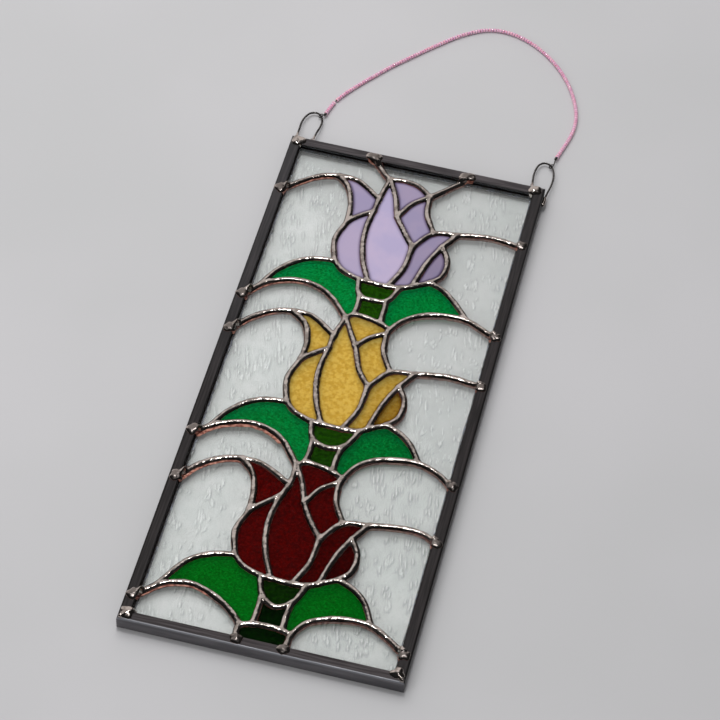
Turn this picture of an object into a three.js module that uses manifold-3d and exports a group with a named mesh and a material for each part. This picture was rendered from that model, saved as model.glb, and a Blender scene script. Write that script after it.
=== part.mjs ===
// A hanging stained glass panel with three tulips, lying face up.
// Millimetres. X runs across the panel, Y runs up it towards the hanging loops, and Z comes out of its face.
// It is drawn with x = 0 on its centre line and y = 0 at its bottom edge, and moved to its origin at the end.
import * as THREE from 'three';
import { mergeVertices } from 'three/addons/utils/BufferGeometryUtils.js';
import Module from 'manifold-3d';

const wasm = await Module();
wasm.setup();

// The panel and its zinc channel frame
const PANEL_WIDTH = 152;
const PANEL_LENGTH = 355;
const FRAME_THICKNESS = 8.5;
const FRAME_FACE = 6;
const CHANNEL_WALL = 1.2;
const CLEARANCE = 0.3;

// The glass, which sits in the middle of the channel and stops short of its bottom
const GLASS_THICKNESS = 3;
const GLASS_MARGIN = 2;
const MID_PLANE = FRAME_THICKNESS / 2;

// A soldered seam: a rounded bead on the front, a flat one on the back, and solder between the glass pieces
const SEAM_WIDTH = 3.2;
const SEAM_CREST = 1.6;
const SEAM_RISE = 1.3;
const SEAM_BACK_RISE = 0.9;
const SEAM_OVERRUN = 0.01;
const BEND_PER_STEP = THREE.MathUtils.degToRad(18);

// The solder blobs where a seam runs onto the frame's face
const BLOB_BASE_RADIUS = 3.4;
const BLOB_TOP_RADIUS = 1.5;
const BLOB_RISE = 1.7;
const BLOB_INSET = 4.7;
const BLOB_SIDES = 6;

// The three tulips: where the foot of each cup stands, how tall the hand cutting left each one, the heights
// at which its seams reach the frame, and the joints that differ most from one tulip to the next
const TULIPS = [
  {
    name: 'upper', petals: 'lilac', foot: 258.5, stretch: 1.0,
    archStart: 55.8, curlEnd: 49.4, leftLeafStart: -27.2, rightLeafStart: -20.2,
    archEnd: [60.7, 63.6], heartWaist: [59.9, 53.7], fork: [74.0, 53.0], forkRise: 65.0,
    calyxTopRight: [88.2, 1.1], calyxRight: [82.8, -10.8], calyxDepth: -12.2,
    leftLeafTip: [11.0, -18.8], rightLeafTip: [129.4, -12.0], tipBulge: [[41.0, 68.0], [45.4, 56.0]],
  },
  {
    name: 'middle', petals: 'amber', foot: 152.3, stretch: 0.99,
    archStart: 53.2, curlEnd: 50.0, leftLeafStart: -24.4, rightLeafStart: -23.2,
    archEnd: [60.7, 63.6], heartWaist: [60.2, 54.0], fork: [74.0, 59.3], forkRise: 67.2,
    calyxTopRight: [91.0, 1.4], calyxRight: [84.8, -11.4], calyxDepth: -14.6,
    leftLeafTip: [11.4, -17.2], rightLeafTip: [126.6, -11.6], tipBulge: [[43.2, 67.6], [47.4, 55.0]],
  },
  {
    name: 'lower', petals: 'red', foot: 46.3, stretch: 0.965,
    archStart: 53.0, curlEnd: 47.2, leftLeafStart: -29.2, rightLeafStart: -28.2,
    archEnd: [63.2, 64.4], heartWaist: [61.2, 57.0], fork: [74.0, 54.5], forkRise: 66.0,
    calyxTopRight: [88.8, 1.2], calyxRight: [84.0, -11.6], calyxDepth: -16.8,
    leftLeafTip: [13.0, -20.4], rightLeafTip: [127.0, -15.2], tipBulge: [[42.0, 67.4], [46.0, 55.4]],
  },
];

// The wire loops and the bead strand
const WIRE_RADIUS = 0.6;
const WIRE_SIDES = 6;
const WIRE_STEPS_PER_POINT = 1.5;
const LEG_SOLDER_RADIUS = 2.3;
const LEG_SOLDER_TIP = 0.8;
const SIDE_SOLDER_DEPTH = 1.4;
const SIDE_SOLDER_REACH = 4.2;
const TIE_SIDES = 5;
const STRAND_DIAMETER = 2.4;
const STRAND_SIDES = 8;
const TIE_WIRE_RADIUS = 0.35;
const TIE_RING_RADIUS = 1.3;
const CRIMP_RADIUS = 0.9;
const CRIMP_LENGTH = 2.4;

const left = -PANEL_WIDTH / 2;
const right = PANEL_WIDTH / 2;
const top = PANEL_LENGTH;

// Solids

function solidOf(geometry) {
  const bare = geometry.index ? geometry.toNonIndexed() : geometry.clone();
  bare.deleteAttribute('normal');
  bare.deleteAttribute('uv');
  const merged = mergeVertices(bare, 1e-4);
  const mesh = new wasm.Mesh({
    numProp: 3,
    vertProperties: new Float32Array(merged.attributes.position.array),
    triVerts: new Uint32Array(merged.index.array),
  });
  return new wasm.Manifold(mesh);
}

function geometryOf(solid) {
  const mesh = solid.getMesh();
  const geometry = new THREE.BufferGeometry();
  geometry.setAttribute('position', new THREE.BufferAttribute(new Float32Array(mesh.vertProperties), 3));
  geometry.setIndex(new THREE.BufferAttribute(new Uint32Array(mesh.triVerts), 1));
  geometry.computeVertexNormals();
  return geometry;
}

function union(solids) {
  return solids.reduce((whole, solid) => whole.add(solid));
}

// A box on the panel: its width and length are centred, and it runs between two heights
function slab(width, length, bottom, topHeight) {
  const box = new THREE.BoxGeometry(width, length, topHeight - bottom);
  box.translate(0, PANEL_LENGTH / 2, (bottom + topHeight) / 2);
  return solidOf(box);
}

// Curves: a path that passes through chosen points, with a face for each step between two of them
class StepPath extends THREE.Curve {
  constructor(points) {
    super();
    this.points = points;
  }

  getPoint(t) {
    return this.points[Math.round(t * (this.points.length - 1))].clone();
  }

  getPointAt(u) {
    return this.getPoint(u);
  }

  getTangentAt(u) {
    const index = Math.round(u * (this.points.length - 1));
    const before = this.points[Math.max(index - 1, 0)];
    const here = this.points[index];
    const after = this.points[Math.min(index + 1, this.points.length - 1)];
    const tangent = new THREE.Vector3();
    if (index > 0) tangent.add(here.clone().sub(before).normalize());
    if (index < this.points.length - 1) tangent.add(after.clone().sub(here).normalize());
    return tangent.normalize();
  }
}

function sweep(section, points) {
  const path = new StepPath(points);
  const settings = { steps: points.length - 1, extrudePath: path, bevelEnabled: false };
  return new THREE.ExtrudeGeometry(section, settings);
}

function roundSection(radius, sides) {
  const corners = [];
  for (let side = 0; side < sides; side += 1) {
    const angle = (2 * Math.PI * (side + 0.5)) / sides;
    corners.push(new THREE.Vector2(radius * Math.cos(angle), radius * Math.sin(angle)));
  }
  return new THREE.Shape(corners);
}

// A smooth line through a few drawn points, with more steps where it bends more
function smoothLine(drawnPoints) {
  const points = drawnPoints.map(([x, y]) => new THREE.Vector3(x, y, MID_PLANE));
  if (points.length === 2) return points;
  const curve = new THREE.CatmullRomCurve3(points, false, 'centripetal');
  const spans = points.length - 1;
  const line = [points[0]];
  for (let span = 0; span < spans; span += 1) {
    const bend = curve.getTangent(span / spans).angleTo(curve.getTangent((span + 1) / spans));
    const steps = Math.max(1, Math.round(bend / BEND_PER_STEP));
    for (let step = 1; step <= steps; step += 1) line.push(curve.getPoint((span + step / steps) / spans));
  }
  return line;
}

// A seam is one or more smooth lines, each starting where the one before it ends
function seamPath(seam) {
  return seam.flatMap((drawnPoints, index) => smoothLine(drawnPoints).slice(index > 0 ? 1 : 0));
}

// Both ends run on: a little into the seam that they meet, or under the frame to the edge of the glass
function overrun(path) {
  const runOn = (end, before) => {
    const length = isOnFrame(end) ? BLOB_INSET : SEAM_OVERRUN;
    return end.clone().sub(before).setLength(length).add(end);
  };
  const last = path.length - 1;
  return [runOn(path[0], path[1]), ...path.slice(1, last), runOn(path[last], path[last - 1])];
}

// The drawing

// Where seams meet the frame, as a height on a side bar or a place along the top or bottom bar
const onLeftBar = (y) => [left + BLOB_INSET, y];
const onRightBar = (y) => [right - BLOB_INSET, y];
const onTopBar = (across) => [left + across, top - BLOB_INSET];
const onBottomBar = (across) => [left + across, BLOB_INSET];

// A tulip's own points are measured across from the panel's left edge and up from the foot of its cup
function unitPoint(index) {
  const tulip = TULIPS[index];
  return (across, up) => [left + across, tulip.foot + tulip.stretch * up];
}

const UPPER = 0;
const LOWER = TULIPS.length - 1;

// The joints of a tulip, where three or more pieces of glass meet
function jointsOf(index) {
  const at = unitPoint(index);
  const tulip = TULIPS[index];
  const underBar = index === UPPER;
  return {
    peak: underBar ? at(63.9, 78.2) : at(63.2, 80.6),
    crownEnd: underBar ? at(88.6, 73.2) : at(89.6, 76.0),
    shoulder: at(88.6, 73.2),
    leftTip: at(34.1, 75.0),
    archEnd: at(...tulip.archEnd),
    waist: at(47.2, 42.2),
    heartWaist: at(...tulip.heartWaist),
    fork: at(...tulip.fork),
    heartEdge: at(87.6, 32.8),
    curlStart: at(97.0, 46.2),
    curlFork: at(110.7, 49.0),
    littleTip: at(104.2, 37.6),
    leafRoot: at(47.4, 10.7),
    calyxTopLeft: at(63.8, 0.9),
    heartFoot: at(69.4, 0.4),
    curlFoot: at(81.0, 0.1),
    calyxTopRight: at(...tulip.calyxTopRight),
    littleFoot: at(94.2, 3.9),
    cupEnd: at(103.6, 9.4),
    calyxLeft: at(67.6, -10.8),
    calyxRight: at(...tulip.calyxRight),
    leftLeafTip: at(...tulip.leftLeafTip),
    rightLeafTip: at(...tulip.rightLeafTip),
  };
}

// The crown's upper edge, which the stem of the tulip above stands on
function crownOf(index) {
  const at = unitPoint(index);
  const joints = jointsOf(index);
  if (index === UPPER) return [joints.peak, at(73.4, 81.4), at(81.6, 79.0), joints.crownEnd];
  return [joints.peak, at(67.4, 81.7), at(75.6, 81.2), at(83.3, 79.3), joints.crownEnd];
}

// The arch of the foot piece takes the place of a crown under the lowest stem
const FOOT_ARCH = [
  [left + 61.0, 14.6],
  [left + 67.8, 16.8],
  [left + 75.6, 17.4],
  [left + 83.6, 16.8],
  [left + 88.4, 15.2],
];

function groundOf(index) {
  return index === LOWER ? FOOT_ARCH : crownOf(index + 1);
}

// The lower edges of a tulip's leaves run from the frame down to the ground that its stem stands on
function leftLeafEdge(index) {
  const at = unitPoint(index);
  const start = onLeftBar(at(0, TULIPS[index].leftLeafStart)[1]);
  const tip = jointsOf(index).leftLeafTip;
  const end = groundOf(index)[0];
  if (index === LOWER) {
    return [start, tip, at(20.2, -16.0), at(30.8, -14.0), at(43.0, -17.8), at(54.4, -25.2), end];
  }
  return [start, tip, at(20.0, -12.4), at(31.6, -9.0), at(43.6, -10.8), at(52.8, -16.6), end];
}

function rightLeafEdge(index) {
  const at = unitPoint(index);
  const start = onRightBar(at(0, TULIPS[index].rightLeafStart)[1]);
  const tip = jointsOf(index).rightLeafTip;
  const end = groundOf(index).at(-1);
  if (index === LOWER) {
    return [start, at(138.0, -21.4), tip, at(115.0, -14.6), at(104.0, -17.0), at(94.6, -22.4), end];
  }
  return [start, at(139.0, -16.2), tip, at(116.0, -12.2), at(103.6, -15.8), at(94.6, -23.0), end];
}

// The seams of one tulip. What comes down from above to its peak and its shoulder belongs to it.
function tulipSeams(index) {
  const at = unitPoint(index);
  const joint = jointsOf(index);
  const ground = groundOf(index);
  const tulip = TULIPS[index];
  const archStart = onLeftBar(at(0, tulip.archStart)[1]);
  const curlEnd = onRightBar(at(0, tulip.curlEnd)[1]);
  const tipBulge = tulip.tipBulge.map((point) => at(...point));
  const toPeak = index === UPPER
    ? [onTopBar(50.6), [left + 55.4, 346.4], [left + 60.2, 341.0], joint.peak]
    : leftLeafEdge(index - 1);
  const toShoulder = index === UPPER
    ? [[onTopBar(106.4), [left + 100.6, 344.4], [left + 95.2, 338.6], joint.shoulder]]
    : [rightLeafEdge(index - 1), [joint.crownEnd, joint.shoulder]];

  const outline = [
    [joint.leftTip, ...tipBulge, joint.waist],
    [joint.waist, at(43.6, 26.5), joint.leafRoot],
    [joint.leafRoot, at(52.8, 5.2), joint.calyxTopLeft, joint.heartFoot, joint.curlFoot, joint.calyxTopRight,
      joint.littleFoot, joint.cupEnd],
    [joint.cupEnd, at(112.0, 5.6), at(119.8, -1.2), joint.rightLeafTip],
  ];
  const leftArch = [archStart, at(12.8, 64.2), at(24.3, 72.4), joint.leftTip, at(45.0, 74.4), joint.archEnd];
  const heartLeft = [joint.peak, joint.archEnd, joint.heartWaist, at(58.8, 41.0), at(59.8, 27.5),
    at(63.4, 14.0), joint.heartFoot];
  const heartRight = [joint.peak, at(69.4, 67.8), joint.fork, at(80.4, 42.8), joint.heartEdge];
  const curl = [joint.heartEdge, joint.curlStart, joint.curlFork, at(119.0, 50.8), at(130.0, 52.2),
    at(140.0, 51.2), curlEnd];
  return [
    outline,
    [leftArch],
    [toPeak, heartLeft],
    [heartRight],
    [crownOf(index)],
    [...toShoulder, [joint.shoulder, at(90.2, 59.6), joint.curlStart]],
    [[joint.fork, at(79.9, tulip.forkRise), joint.shoulder]],
    [[joint.waist, at(53.0, 48.2), joint.heartWaist]],
    [[joint.curlFoot, at(86.4, 15.6), joint.heartEdge], curl],
    [[joint.curlFork, joint.littleTip, at(98.6, 23.6), joint.littleFoot]],
    [[joint.littleTip, at(109.4, 27.4), at(108.6, 15.6), joint.cupEnd]],
    [[joint.calyxTopLeft, joint.calyxLeft, at(75.8, tulip.calyxDepth), joint.calyxRight,
      joint.calyxTopRight]],
    [[joint.calyxLeft, at(68.0, -19.5), ground[1]]],
    [[joint.calyxRight, at(83.2, -19.5), ground.at(-2)]],
    [[joint.leafRoot, ...leftLeafBack(index), joint.leftLeafTip]],
  ];
}

// The upper edge of the left leaf, between its root and its tip
function leftLeafBack(index) {
  const at = unitPoint(index);
  if (index === LOWER) return [at(36.0, 8.0), at(24.8, 0.4)];
  return [at(35.4, 9.0), at(26.0, 3.8), at(17.6, -5.6)];
}

function footSeams() {
  return [
    [leftLeafEdge(LOWER), [FOOT_ARCH[0], [left + 60.8, 10.6], onBottomBar(62.4)]],
    [rightLeafEdge(LOWER), [FOOT_ARCH.at(-1), [left + 88.0, 10.6], onBottomBar(87.2)]],
    [FOOT_ARCH],
  ];
}

function allSeams() {
  return [...TULIPS.flatMap((tulip, index) => tulipSeams(index)), ...footSeams()];
}

// A point inside each piece of glass, which gives the piece its name and its glass
function glassPieces() {
  const pieces = [];
  TULIPS.forEach((tulip, index) => {
    const at = unitPoint(index);
    const petal = (name, across, up) => {
      pieces.push({ name: `${tulip.petals}_petal_${name}`, glass: tulip.petals, seed: at(across, up) });
    };
    petal('left_tip', 52, 63);
    petal('left', 52, 25);
    petal('heart', 72, 25);
    petal('right_top', 77, 74);
    petal('right', 84, 57);
    petal('curl', 92, 25);
    petal('little', 104, 22);
    const leafGlass = index === LOWER ? 'deepLeaf' : 'leaf';
    pieces.push({ name: `${tulip.name}_calyx`, glass: 'stem', seed: at(76, -6) });
    pieces.push({ name: `${tulip.name}_stem`, glass: 'stem', seed: at(75.5, -19) });
    pieces.push({ name: `${tulip.name}_leaf_left`, glass: leafGlass, seed: at(45, -3) });
    pieces.push({ name: `${tulip.name}_leaf_right`, glass: leafGlass, seed: at(105, -5) });
    pieces.push({ name: `${tulip.name}_clear_left`, glass: 'clear', seed: at(25, 40) });
    pieces.push({ name: `${tulip.name}_clear_crescent`, glass: 'clear', seed: at(32, -21) });
    pieces.push({ name: `${tulip.name}_clear_side`, glass: 'clear', seed: at(125, 20) });
    pieces.push({ name: `${tulip.name}_clear_right`, glass: 'clear', seed: at(115, 65) });
  });
  pieces.push({ name: 'foot_piece', glass: 'stem', seed: [0, 12] });
  pieces.push({ name: 'bottom_clear_right', glass: 'clear', seed: [left + 115, 17] });
  pieces.push({ name: 'top_clear_left', glass: 'clear', seed: [left + 20, 343] });
  pieces.push({ name: 'top_clear_middle', glass: 'clear', seed: [left + 78, 345] });
  return pieces;
}

// The finishes
const finishes = {
  clear: new THREE.MeshStandardMaterial({ color: 0xdfe6e6, roughness: 0.1, transparent: true, opacity: 0.4 }),
  lilac: new THREE.MeshStandardMaterial({ color: 0xb9a5cc, roughness: 0.15 }),
  amber: new THREE.MeshStandardMaterial({ color: 0xc8a046, roughness: 0.25 }),
  red: new THREE.MeshStandardMaterial({ color: 0x5a0c0a, roughness: 0.2 }),
  leaf: new THREE.MeshStandardMaterial({ color: 0x00803a, roughness: 0.25 }),
  deepLeaf: new THREE.MeshStandardMaterial({ color: 0x0a7820, roughness: 0.25 }),
  stem: new THREE.MeshStandardMaterial({ color: 0x1e3c05, roughness: 0.2 }),
  solder: new THREE.MeshStandardMaterial({ color: 0xb4aaa8, roughness: 0.25, metalness: 1 }),
  zinc: new THREE.MeshStandardMaterial({ color: 0x4a4444, roughness: 0.5, metalness: 0.8 }),
  wire: new THREE.MeshStandardMaterial({ color: 0x6a6a6a, roughness: 0.4, metalness: 1 }),
  beads: new THREE.MeshStandardMaterial({ color: 0xd98aa4, roughness: 0.15 }),
};

const object = new THREE.Group();
const strandParts = new THREE.Group();

function addNode(parent, name, geometry, finish) {
  const mesh = new THREE.Mesh(geometry, finishes[finish]);
  mesh.name = name;
  parent.add(mesh);
}

// The frame: a channel that runs round the glass, cut into four bars by the mitres
function frameBars() {
  const outside = slab(PANEL_WIDTH, PANEL_LENGTH, 0, FRAME_THICKNESS);
  const openWidth = PANEL_WIDTH - 2 * FRAME_FACE;
  const openLength = PANEL_LENGTH - 2 * FRAME_FACE;
  const opening = slab(openWidth, openLength, -FRAME_THICKNESS, 2 * FRAME_THICKNESS);
  const groove = slab(PANEL_WIDTH - 2 * CHANNEL_WALL, PANEL_LENGTH - 2 * CHANNEL_WALL,
    CHANNEL_WALL, FRAME_THICKNESS - CHANNEL_WALL);
  const ring = outside.subtract(opening).subtract(groove);
  const bars = [
    { name: 'zinc_bar_bottom', turn: 0, length: PANEL_WIDTH, x: 0, y: 0 },
    { name: 'zinc_bar_right', turn: Math.PI / 2, length: PANEL_LENGTH, x: right, y: PANEL_LENGTH / 2 },
    { name: 'zinc_bar_top', turn: Math.PI, length: PANEL_WIDTH, x: 0, y: PANEL_LENGTH },
    { name: 'zinc_bar_left', turn: -Math.PI / 2, length: PANEL_LENGTH, x: left, y: PANEL_LENGTH / 2 },
  ];
  for (const bar of bars) {
    const outer = bar.length / 2 + 1 - CLEARANCE;
    const inner = bar.length / 2 - 2 * FRAME_FACE - CLEARANCE;
    const plan = new THREE.Shape([
      new THREE.Vector2(-outer, -1),
      new THREE.Vector2(outer, -1),
      new THREE.Vector2(inner, 2 * FRAME_FACE),
      new THREE.Vector2(-inner, 2 * FRAME_FACE),
    ]);
    const block = new THREE.ExtrudeGeometry(plan, { depth: 2 * FRAME_THICKNESS, bevelEnabled: false });
    block.rotateZ(bar.turn);
    block.translate(bar.x, bar.y, -FRAME_THICKNESS / 2);
    addNode(object, bar.name, geometryOf(ring.intersect(solidOf(block))), 'zinc');
  }
}

// The solder net, and the glass that it divides
function seamSection() {
  const side = SEAM_WIDTH / 2;
  const crest = SEAM_CREST / 2;
  const face = GLASS_THICKNESS / 2;
  const corners = [
    [side, face],
    [crest, face + SEAM_RISE],
    [-crest, face + SEAM_RISE],
    [-side, face],
    [-side, -face - SEAM_BACK_RISE],
    [side, -face - SEAM_BACK_RISE],
  ];
  return new THREE.Shape(corners.map(([across, height]) => new THREE.Vector2(height, across)));
}

function cutSection() {
  const reach = GLASS_THICKNESS;
  const across = SEAM_WIDTH / 2 + CLEARANCE;
  const corners = [[-reach, -across], [reach, -across], [reach, across], [-reach, across]];
  return new THREE.Shape(corners.map(([height, side]) => new THREE.Vector2(height, side)));
}

// A blob stands on the frame where a seam's drawn end lies on the frame's face
function isOnFrame({ x, y }) {
  const edge = FRAME_FACE;
  return x < left + edge || x > right - edge || y < edge || y > top - edge;
}

function solderBlob({ x, y }) {
  const foot = MID_PLANE + GLASS_THICKNESS / 2 + 2 * CLEARANCE;
  const height = FRAME_THICKNESS + BLOB_RISE - foot;
  const cone = new THREE.CylinderGeometry(BLOB_TOP_RADIUS, BLOB_BASE_RADIUS, height, BLOB_SIDES);
  cone.rotateX(Math.PI / 2);
  cone.translate(x, y, foot + height / 2);
  return solidOf(cone);
}

function glassAndSolder() {
  const drawn = allSeams().map(seamPath);
  const paths = drawn.map(overrun);
  const beads = paths.map((path) => solidOf(sweep(seamSection(), path)));
  const cuts = paths.map((path) => solidOf(sweep(cutSection(), path)));
  const ends = drawn.flatMap((path) => [path[0], path.at(-1)]).filter(isOnFrame);
  const seamNet = union(beads);

  const glassWidth = PANEL_WIDTH - 2 * GLASS_MARGIN;
  const glassLength = PANEL_LENGTH - 2 * GLASS_MARGIN;
  const lowFace = MID_PLANE - GLASS_THICKNESS / 2;
  const highFace = MID_PLANE + GLASS_THICKNESS / 2;
  const sheet = slab(glassWidth, glassLength, lowFace, highFace);
  const openWidth = PANEL_WIDTH - 2 * (FRAME_FACE + CLEARANCE);
  const openLength = PANEL_LENGTH - 2 * (FRAME_FACE + CLEARANCE);
  const room = slab(openWidth, openLength, 0, FRAME_THICKNESS + CLEARANCE);
  const above = slab(PANEL_WIDTH, PANEL_LENGTH, FRAME_THICKNESS + CLEARANCE, 2 * FRAME_THICKNESS);

  const withBlobs = seamNet.add(union(ends.map(solderBlob)));
  addNode(object, 'solder_net', geometryOf(withBlobs.intersect(room.add(above).add(sheet))), 'solder');

  const cutGlass = sheet.subtract(union(cuts)).decompose();
  for (const piece of glassPieces()) {
    const probe = new THREE.BoxGeometry(CLEARANCE, CLEARANCE, CLEARANCE);
    probe.translate(piece.seed[0], piece.seed[1], MID_PLANE);
    const found = cutGlass.filter((glass) => !glass.intersect(solidOf(probe)).isEmpty());
    if (found.length !== 1) throw new Error(`no single piece of glass at ${piece.name}`);
    addNode(object, piece.name, geometryOf(found[0]), piece.glass);
  }
}

// The hanging loops: wire that starts at the top bar, leans down to the table at its tip and comes back.
// The right loop's outer leg runs on along the side of the right bar.
const LOOPS = {
  left: [
    [-74.2, PANEL_LENGTH + 1.0, 4.5], [-74.5, 365.8, 3.6], [-74.6, 372.1, 3.0], [-73.7, 377.2, 2.5],
    [-71.6, 381.2, 2.1], [-68.2, 382.6, 1.9], [-65.2, 380.9, 2.1], [-63.4, 377.0, 2.4],
    [-63.2, 371.0, 3.0], [-63.9, 365.4, 3.6], [-64.6, PANEL_LENGTH + 1.0, 4.5],
  ],
  right: [
    [67.9, PANEL_LENGTH + 1.0, 4.5], [67.1, 363.5, 3.8], [66.7, 368.6, 3.3], [67.0, 374.0, 2.7],
    [68.2, 378.2, 2.4], [70.6, 380.6, 2.1], [73.2, 380.5, 2.1], [75.7, 378.4, 2.3], [77.6, 373.9, 2.8],
    [78.4, 368.4, 3.3], [78.3, 362.0, 3.9], [77.4, 355.6, 4.4], [right + CLEARANCE + WIRE_RADIUS, 350.0, 4.4],
    [right + CLEARANCE + WIRE_RADIUS, 346.0, 4.2],
  ],
};

function curveThrough(points) {
  return new THREE.CatmullRomCurve3(points.map((point) => new THREE.Vector3(...point)), false, 'centripetal');
}

function wireOf(points) {
  const curve = curveThrough(points);
  const steps = Math.round(WIRE_STEPS_PER_POINT * (points.length - 1));
  const line = [];
  for (let step = 0; step <= steps; step += 1) line.push(curve.getPoint(step / steps));
  return solidOf(sweep(roundSection(WIRE_RADIUS, WIRE_SIDES), line));
}

// The solder that holds a leg to the outer wall of the top bar
function legSolder([x, , z]) {
  const height = LEG_SOLDER_RADIUS;
  const cone = new THREE.CylinderGeometry(LEG_SOLDER_TIP, LEG_SOLDER_RADIUS, height, BLOB_SIDES);
  cone.translate(x, PANEL_LENGTH + CLEARANCE + height / 2, z);
  return solidOf(cone);
}

// The solder that holds the outer leg to the wall of the right bar
function sideSolder([x, y, z]) {
  const lump = new THREE.SphereGeometry(1, BLOB_SIDES, 4);
  lump.scale(SIDE_SOLDER_DEPTH, SIDE_SOLDER_REACH, LEG_SOLDER_RADIUS);
  lump.translate(x, y + LEG_SOLDER_RADIUS, z);
  const beside = new THREE.BoxGeometry(FRAME_THICKNESS, 2 * FRAME_THICKNESS, 2 * FRAME_THICKNESS);
  beside.translate(right + CLEARANCE + FRAME_THICKNESS / 2, y, z);
  return solidOf(lump).intersect(solidOf(beside));
}

function hangingLoops() {
  const leftEnd = LOOPS.left.length - 1;
  const rightEnd = LOOPS.right.length - 1;
  const leftLoop = [wireOf(LOOPS.left), legSolder(LOOPS.left[0]), legSolder(LOOPS.left[leftEnd])];
  const rightLoop = [wireOf(LOOPS.right), legSolder(LOOPS.right[0]), sideSolder(LOOPS.right[rightEnd])];
  addNode(object, 'wire_loop_left', geometryOf(union(leftLoop)), 'wire');
  addNode(object, 'wire_loop_right', geometryOf(union(rightLoop)), 'wire');
}

// The bead strand: a route chosen by hand, lying on the table in one open arch between the two loops
const STRAND_ROUTE = [
  [-62.8, 384.2, 1.9], [-62.0, 388.6, 1.4], [-60.4, 394.6, 1.25], [-57.2, 401.4, 1.25],
  [-52.6, 409.0, 1.25], [-47.0, 417.2, 1.25], [-40.8, 425.6, 1.25], [-34.2, 434.4, 1.25],
  [-26.8, 443.0, 1.25], [-18.8, 452.2, 1.25], [-10.6, 461.2, 1.25], [-2.6, 469.4, 1.25],
  [5.8, 476.2, 1.25], [14.4, 480.9, 1.25], [23.4, 482.6, 1.25], [32.6, 481.4, 1.25],
  [42.0, 477.8, 1.25], [51.8, 471.6, 1.25], [61.4, 462.8, 1.25], [70.0, 451.6, 1.25],
  [76.6, 439.0, 1.25], [80.9, 426.0, 1.25], [82.0, 414.0, 1.25], [80.6, 403.6, 1.25],
  [78.4, 394.4, 1.4], [76.9, 387.8, 1.9],
];
const STRAND_STEPS = 42;

// Where each end of the strand is tied: a point on the loop's wire, and the strand's end that it leads to
const TIES = [
  { name: 'strand_wire_left', hook: [-65.0, 380.6, 2.1], end: STRAND_ROUTE[0] },
  { name: 'strand_wire_right', hook: [74.9, 379.3, 2.2], end: STRAND_ROUTE[STRAND_ROUTE.length - 1] },
];

// A small ring of wire round the loop, a crimp beside it, and the wire between them
function tie({ hook, end }) {
  const centre = new THREE.Vector3(...hook);
  const goal = new THREE.Vector3(...end);
  const away = goal.clone().sub(centre).normalize();
  const level = new THREE.Vector3(away.y, -away.x, 0).normalize();
  const turn = new THREE.Quaternion().setFromUnitVectors(new THREE.Vector3(0, 0, 1), level);
  const ring = new THREE.TorusGeometry(TIE_RING_RADIUS, TIE_WIRE_RADIUS, TIE_SIDES, 2 * TIE_SIDES);
  ring.applyQuaternion(turn);
  ring.translate(centre.x, centre.y, centre.z);
  const crimpEnd = goal.clone().addScaledVector(away, -CLEARANCE);
  const crimpStart = crimpEnd.clone().addScaledVector(away, -CRIMP_LENGTH);
  const ringEdge = centre.clone().addScaledVector(away, TIE_RING_RADIUS - TIE_WIRE_RADIUS / 2);
  const crimp = solidOf(sweep(roundSection(CRIMP_RADIUS, WIRE_SIDES), [crimpStart, crimpEnd]));
  const wire = solidOf(sweep(roundSection(TIE_WIRE_RADIUS, TIE_SIDES), [ringEdge, crimpEnd]));
  return union([solidOf(ring), crimp, wire]);
}

function beadStrand() {
  const route = curveThrough(STRAND_ROUTE).getSpacedPoints(STRAND_STEPS);
  const tube = sweep(roundSection(STRAND_DIAMETER / 2, STRAND_SIDES), route);
  addNode(strandParts, 'bead_strand', geometryOf(solidOf(tube)), 'beads');
  for (const end of TIES) addNode(strandParts, end.name, geometryOf(tie(end)), 'wire');
}

frameBars();
glassAndSolder();
hangingLoops();
beadStrand();

// The origin: under the middle of the panel with its loops, on the surface that it lies on
const extent = new THREE.Box3().setFromObject(object);
const middle = extent.getCenter(new THREE.Vector3());
const panel = new THREE.Group();
panel.add(object, strandParts);
panel.position.set(-middle.x, -middle.y, 0);

export default panel;
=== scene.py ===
# %% [markdown]
# # A stained glass panel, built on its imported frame
#
# The panel lies face up on a pale table. Copper foil is wrapped round the edge of each piece of glass, beads
# of solder run along the foil and join the pieces, and a frame of zinc channel holds the whole. Two wire
# loops and a strand of glass beads hang it up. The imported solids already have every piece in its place. This
# script gives them their look: rounded solder, rippled glass, patina, and a strand of single beads.
#
# Everything is drawn in millimetres, with x = 0 on the panel's centre line and y = 0 at its bottom edge, and
# is moved to the frame's metres where a mesh is made.

# %% Load the frame
import math

import bpy
import numpy as np
from mathutils import Matrix, Vector


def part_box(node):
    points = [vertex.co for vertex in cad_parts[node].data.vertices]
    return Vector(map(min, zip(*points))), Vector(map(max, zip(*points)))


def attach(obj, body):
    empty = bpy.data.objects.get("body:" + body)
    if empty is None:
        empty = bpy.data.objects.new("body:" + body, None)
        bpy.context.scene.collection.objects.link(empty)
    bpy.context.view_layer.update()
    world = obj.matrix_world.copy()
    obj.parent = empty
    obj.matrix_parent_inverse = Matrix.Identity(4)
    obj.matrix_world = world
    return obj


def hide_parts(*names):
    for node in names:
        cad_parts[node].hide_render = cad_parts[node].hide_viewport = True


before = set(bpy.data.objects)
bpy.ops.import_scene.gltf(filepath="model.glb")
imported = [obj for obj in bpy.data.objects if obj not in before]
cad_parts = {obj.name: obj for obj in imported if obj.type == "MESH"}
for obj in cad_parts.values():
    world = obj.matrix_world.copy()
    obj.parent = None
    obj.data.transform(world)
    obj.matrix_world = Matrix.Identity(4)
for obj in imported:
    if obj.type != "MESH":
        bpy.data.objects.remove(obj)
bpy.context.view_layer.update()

MM = 0.001
left_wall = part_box("zinc_bar_left")[0].x
right_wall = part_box("zinc_bar_right")[1].x
bottom_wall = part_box("zinc_bar_bottom")[0].y
top_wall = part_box("zinc_bar_top")[1].y
PANEL_ORIGIN = np.array([(left_wall + right_wall) / 2, bottom_wall, 0.0])
PANEL_WIDTH = (right_wall - left_wall) / MM
PANEL_LENGTH = (top_wall - bottom_wall) / MM
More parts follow.
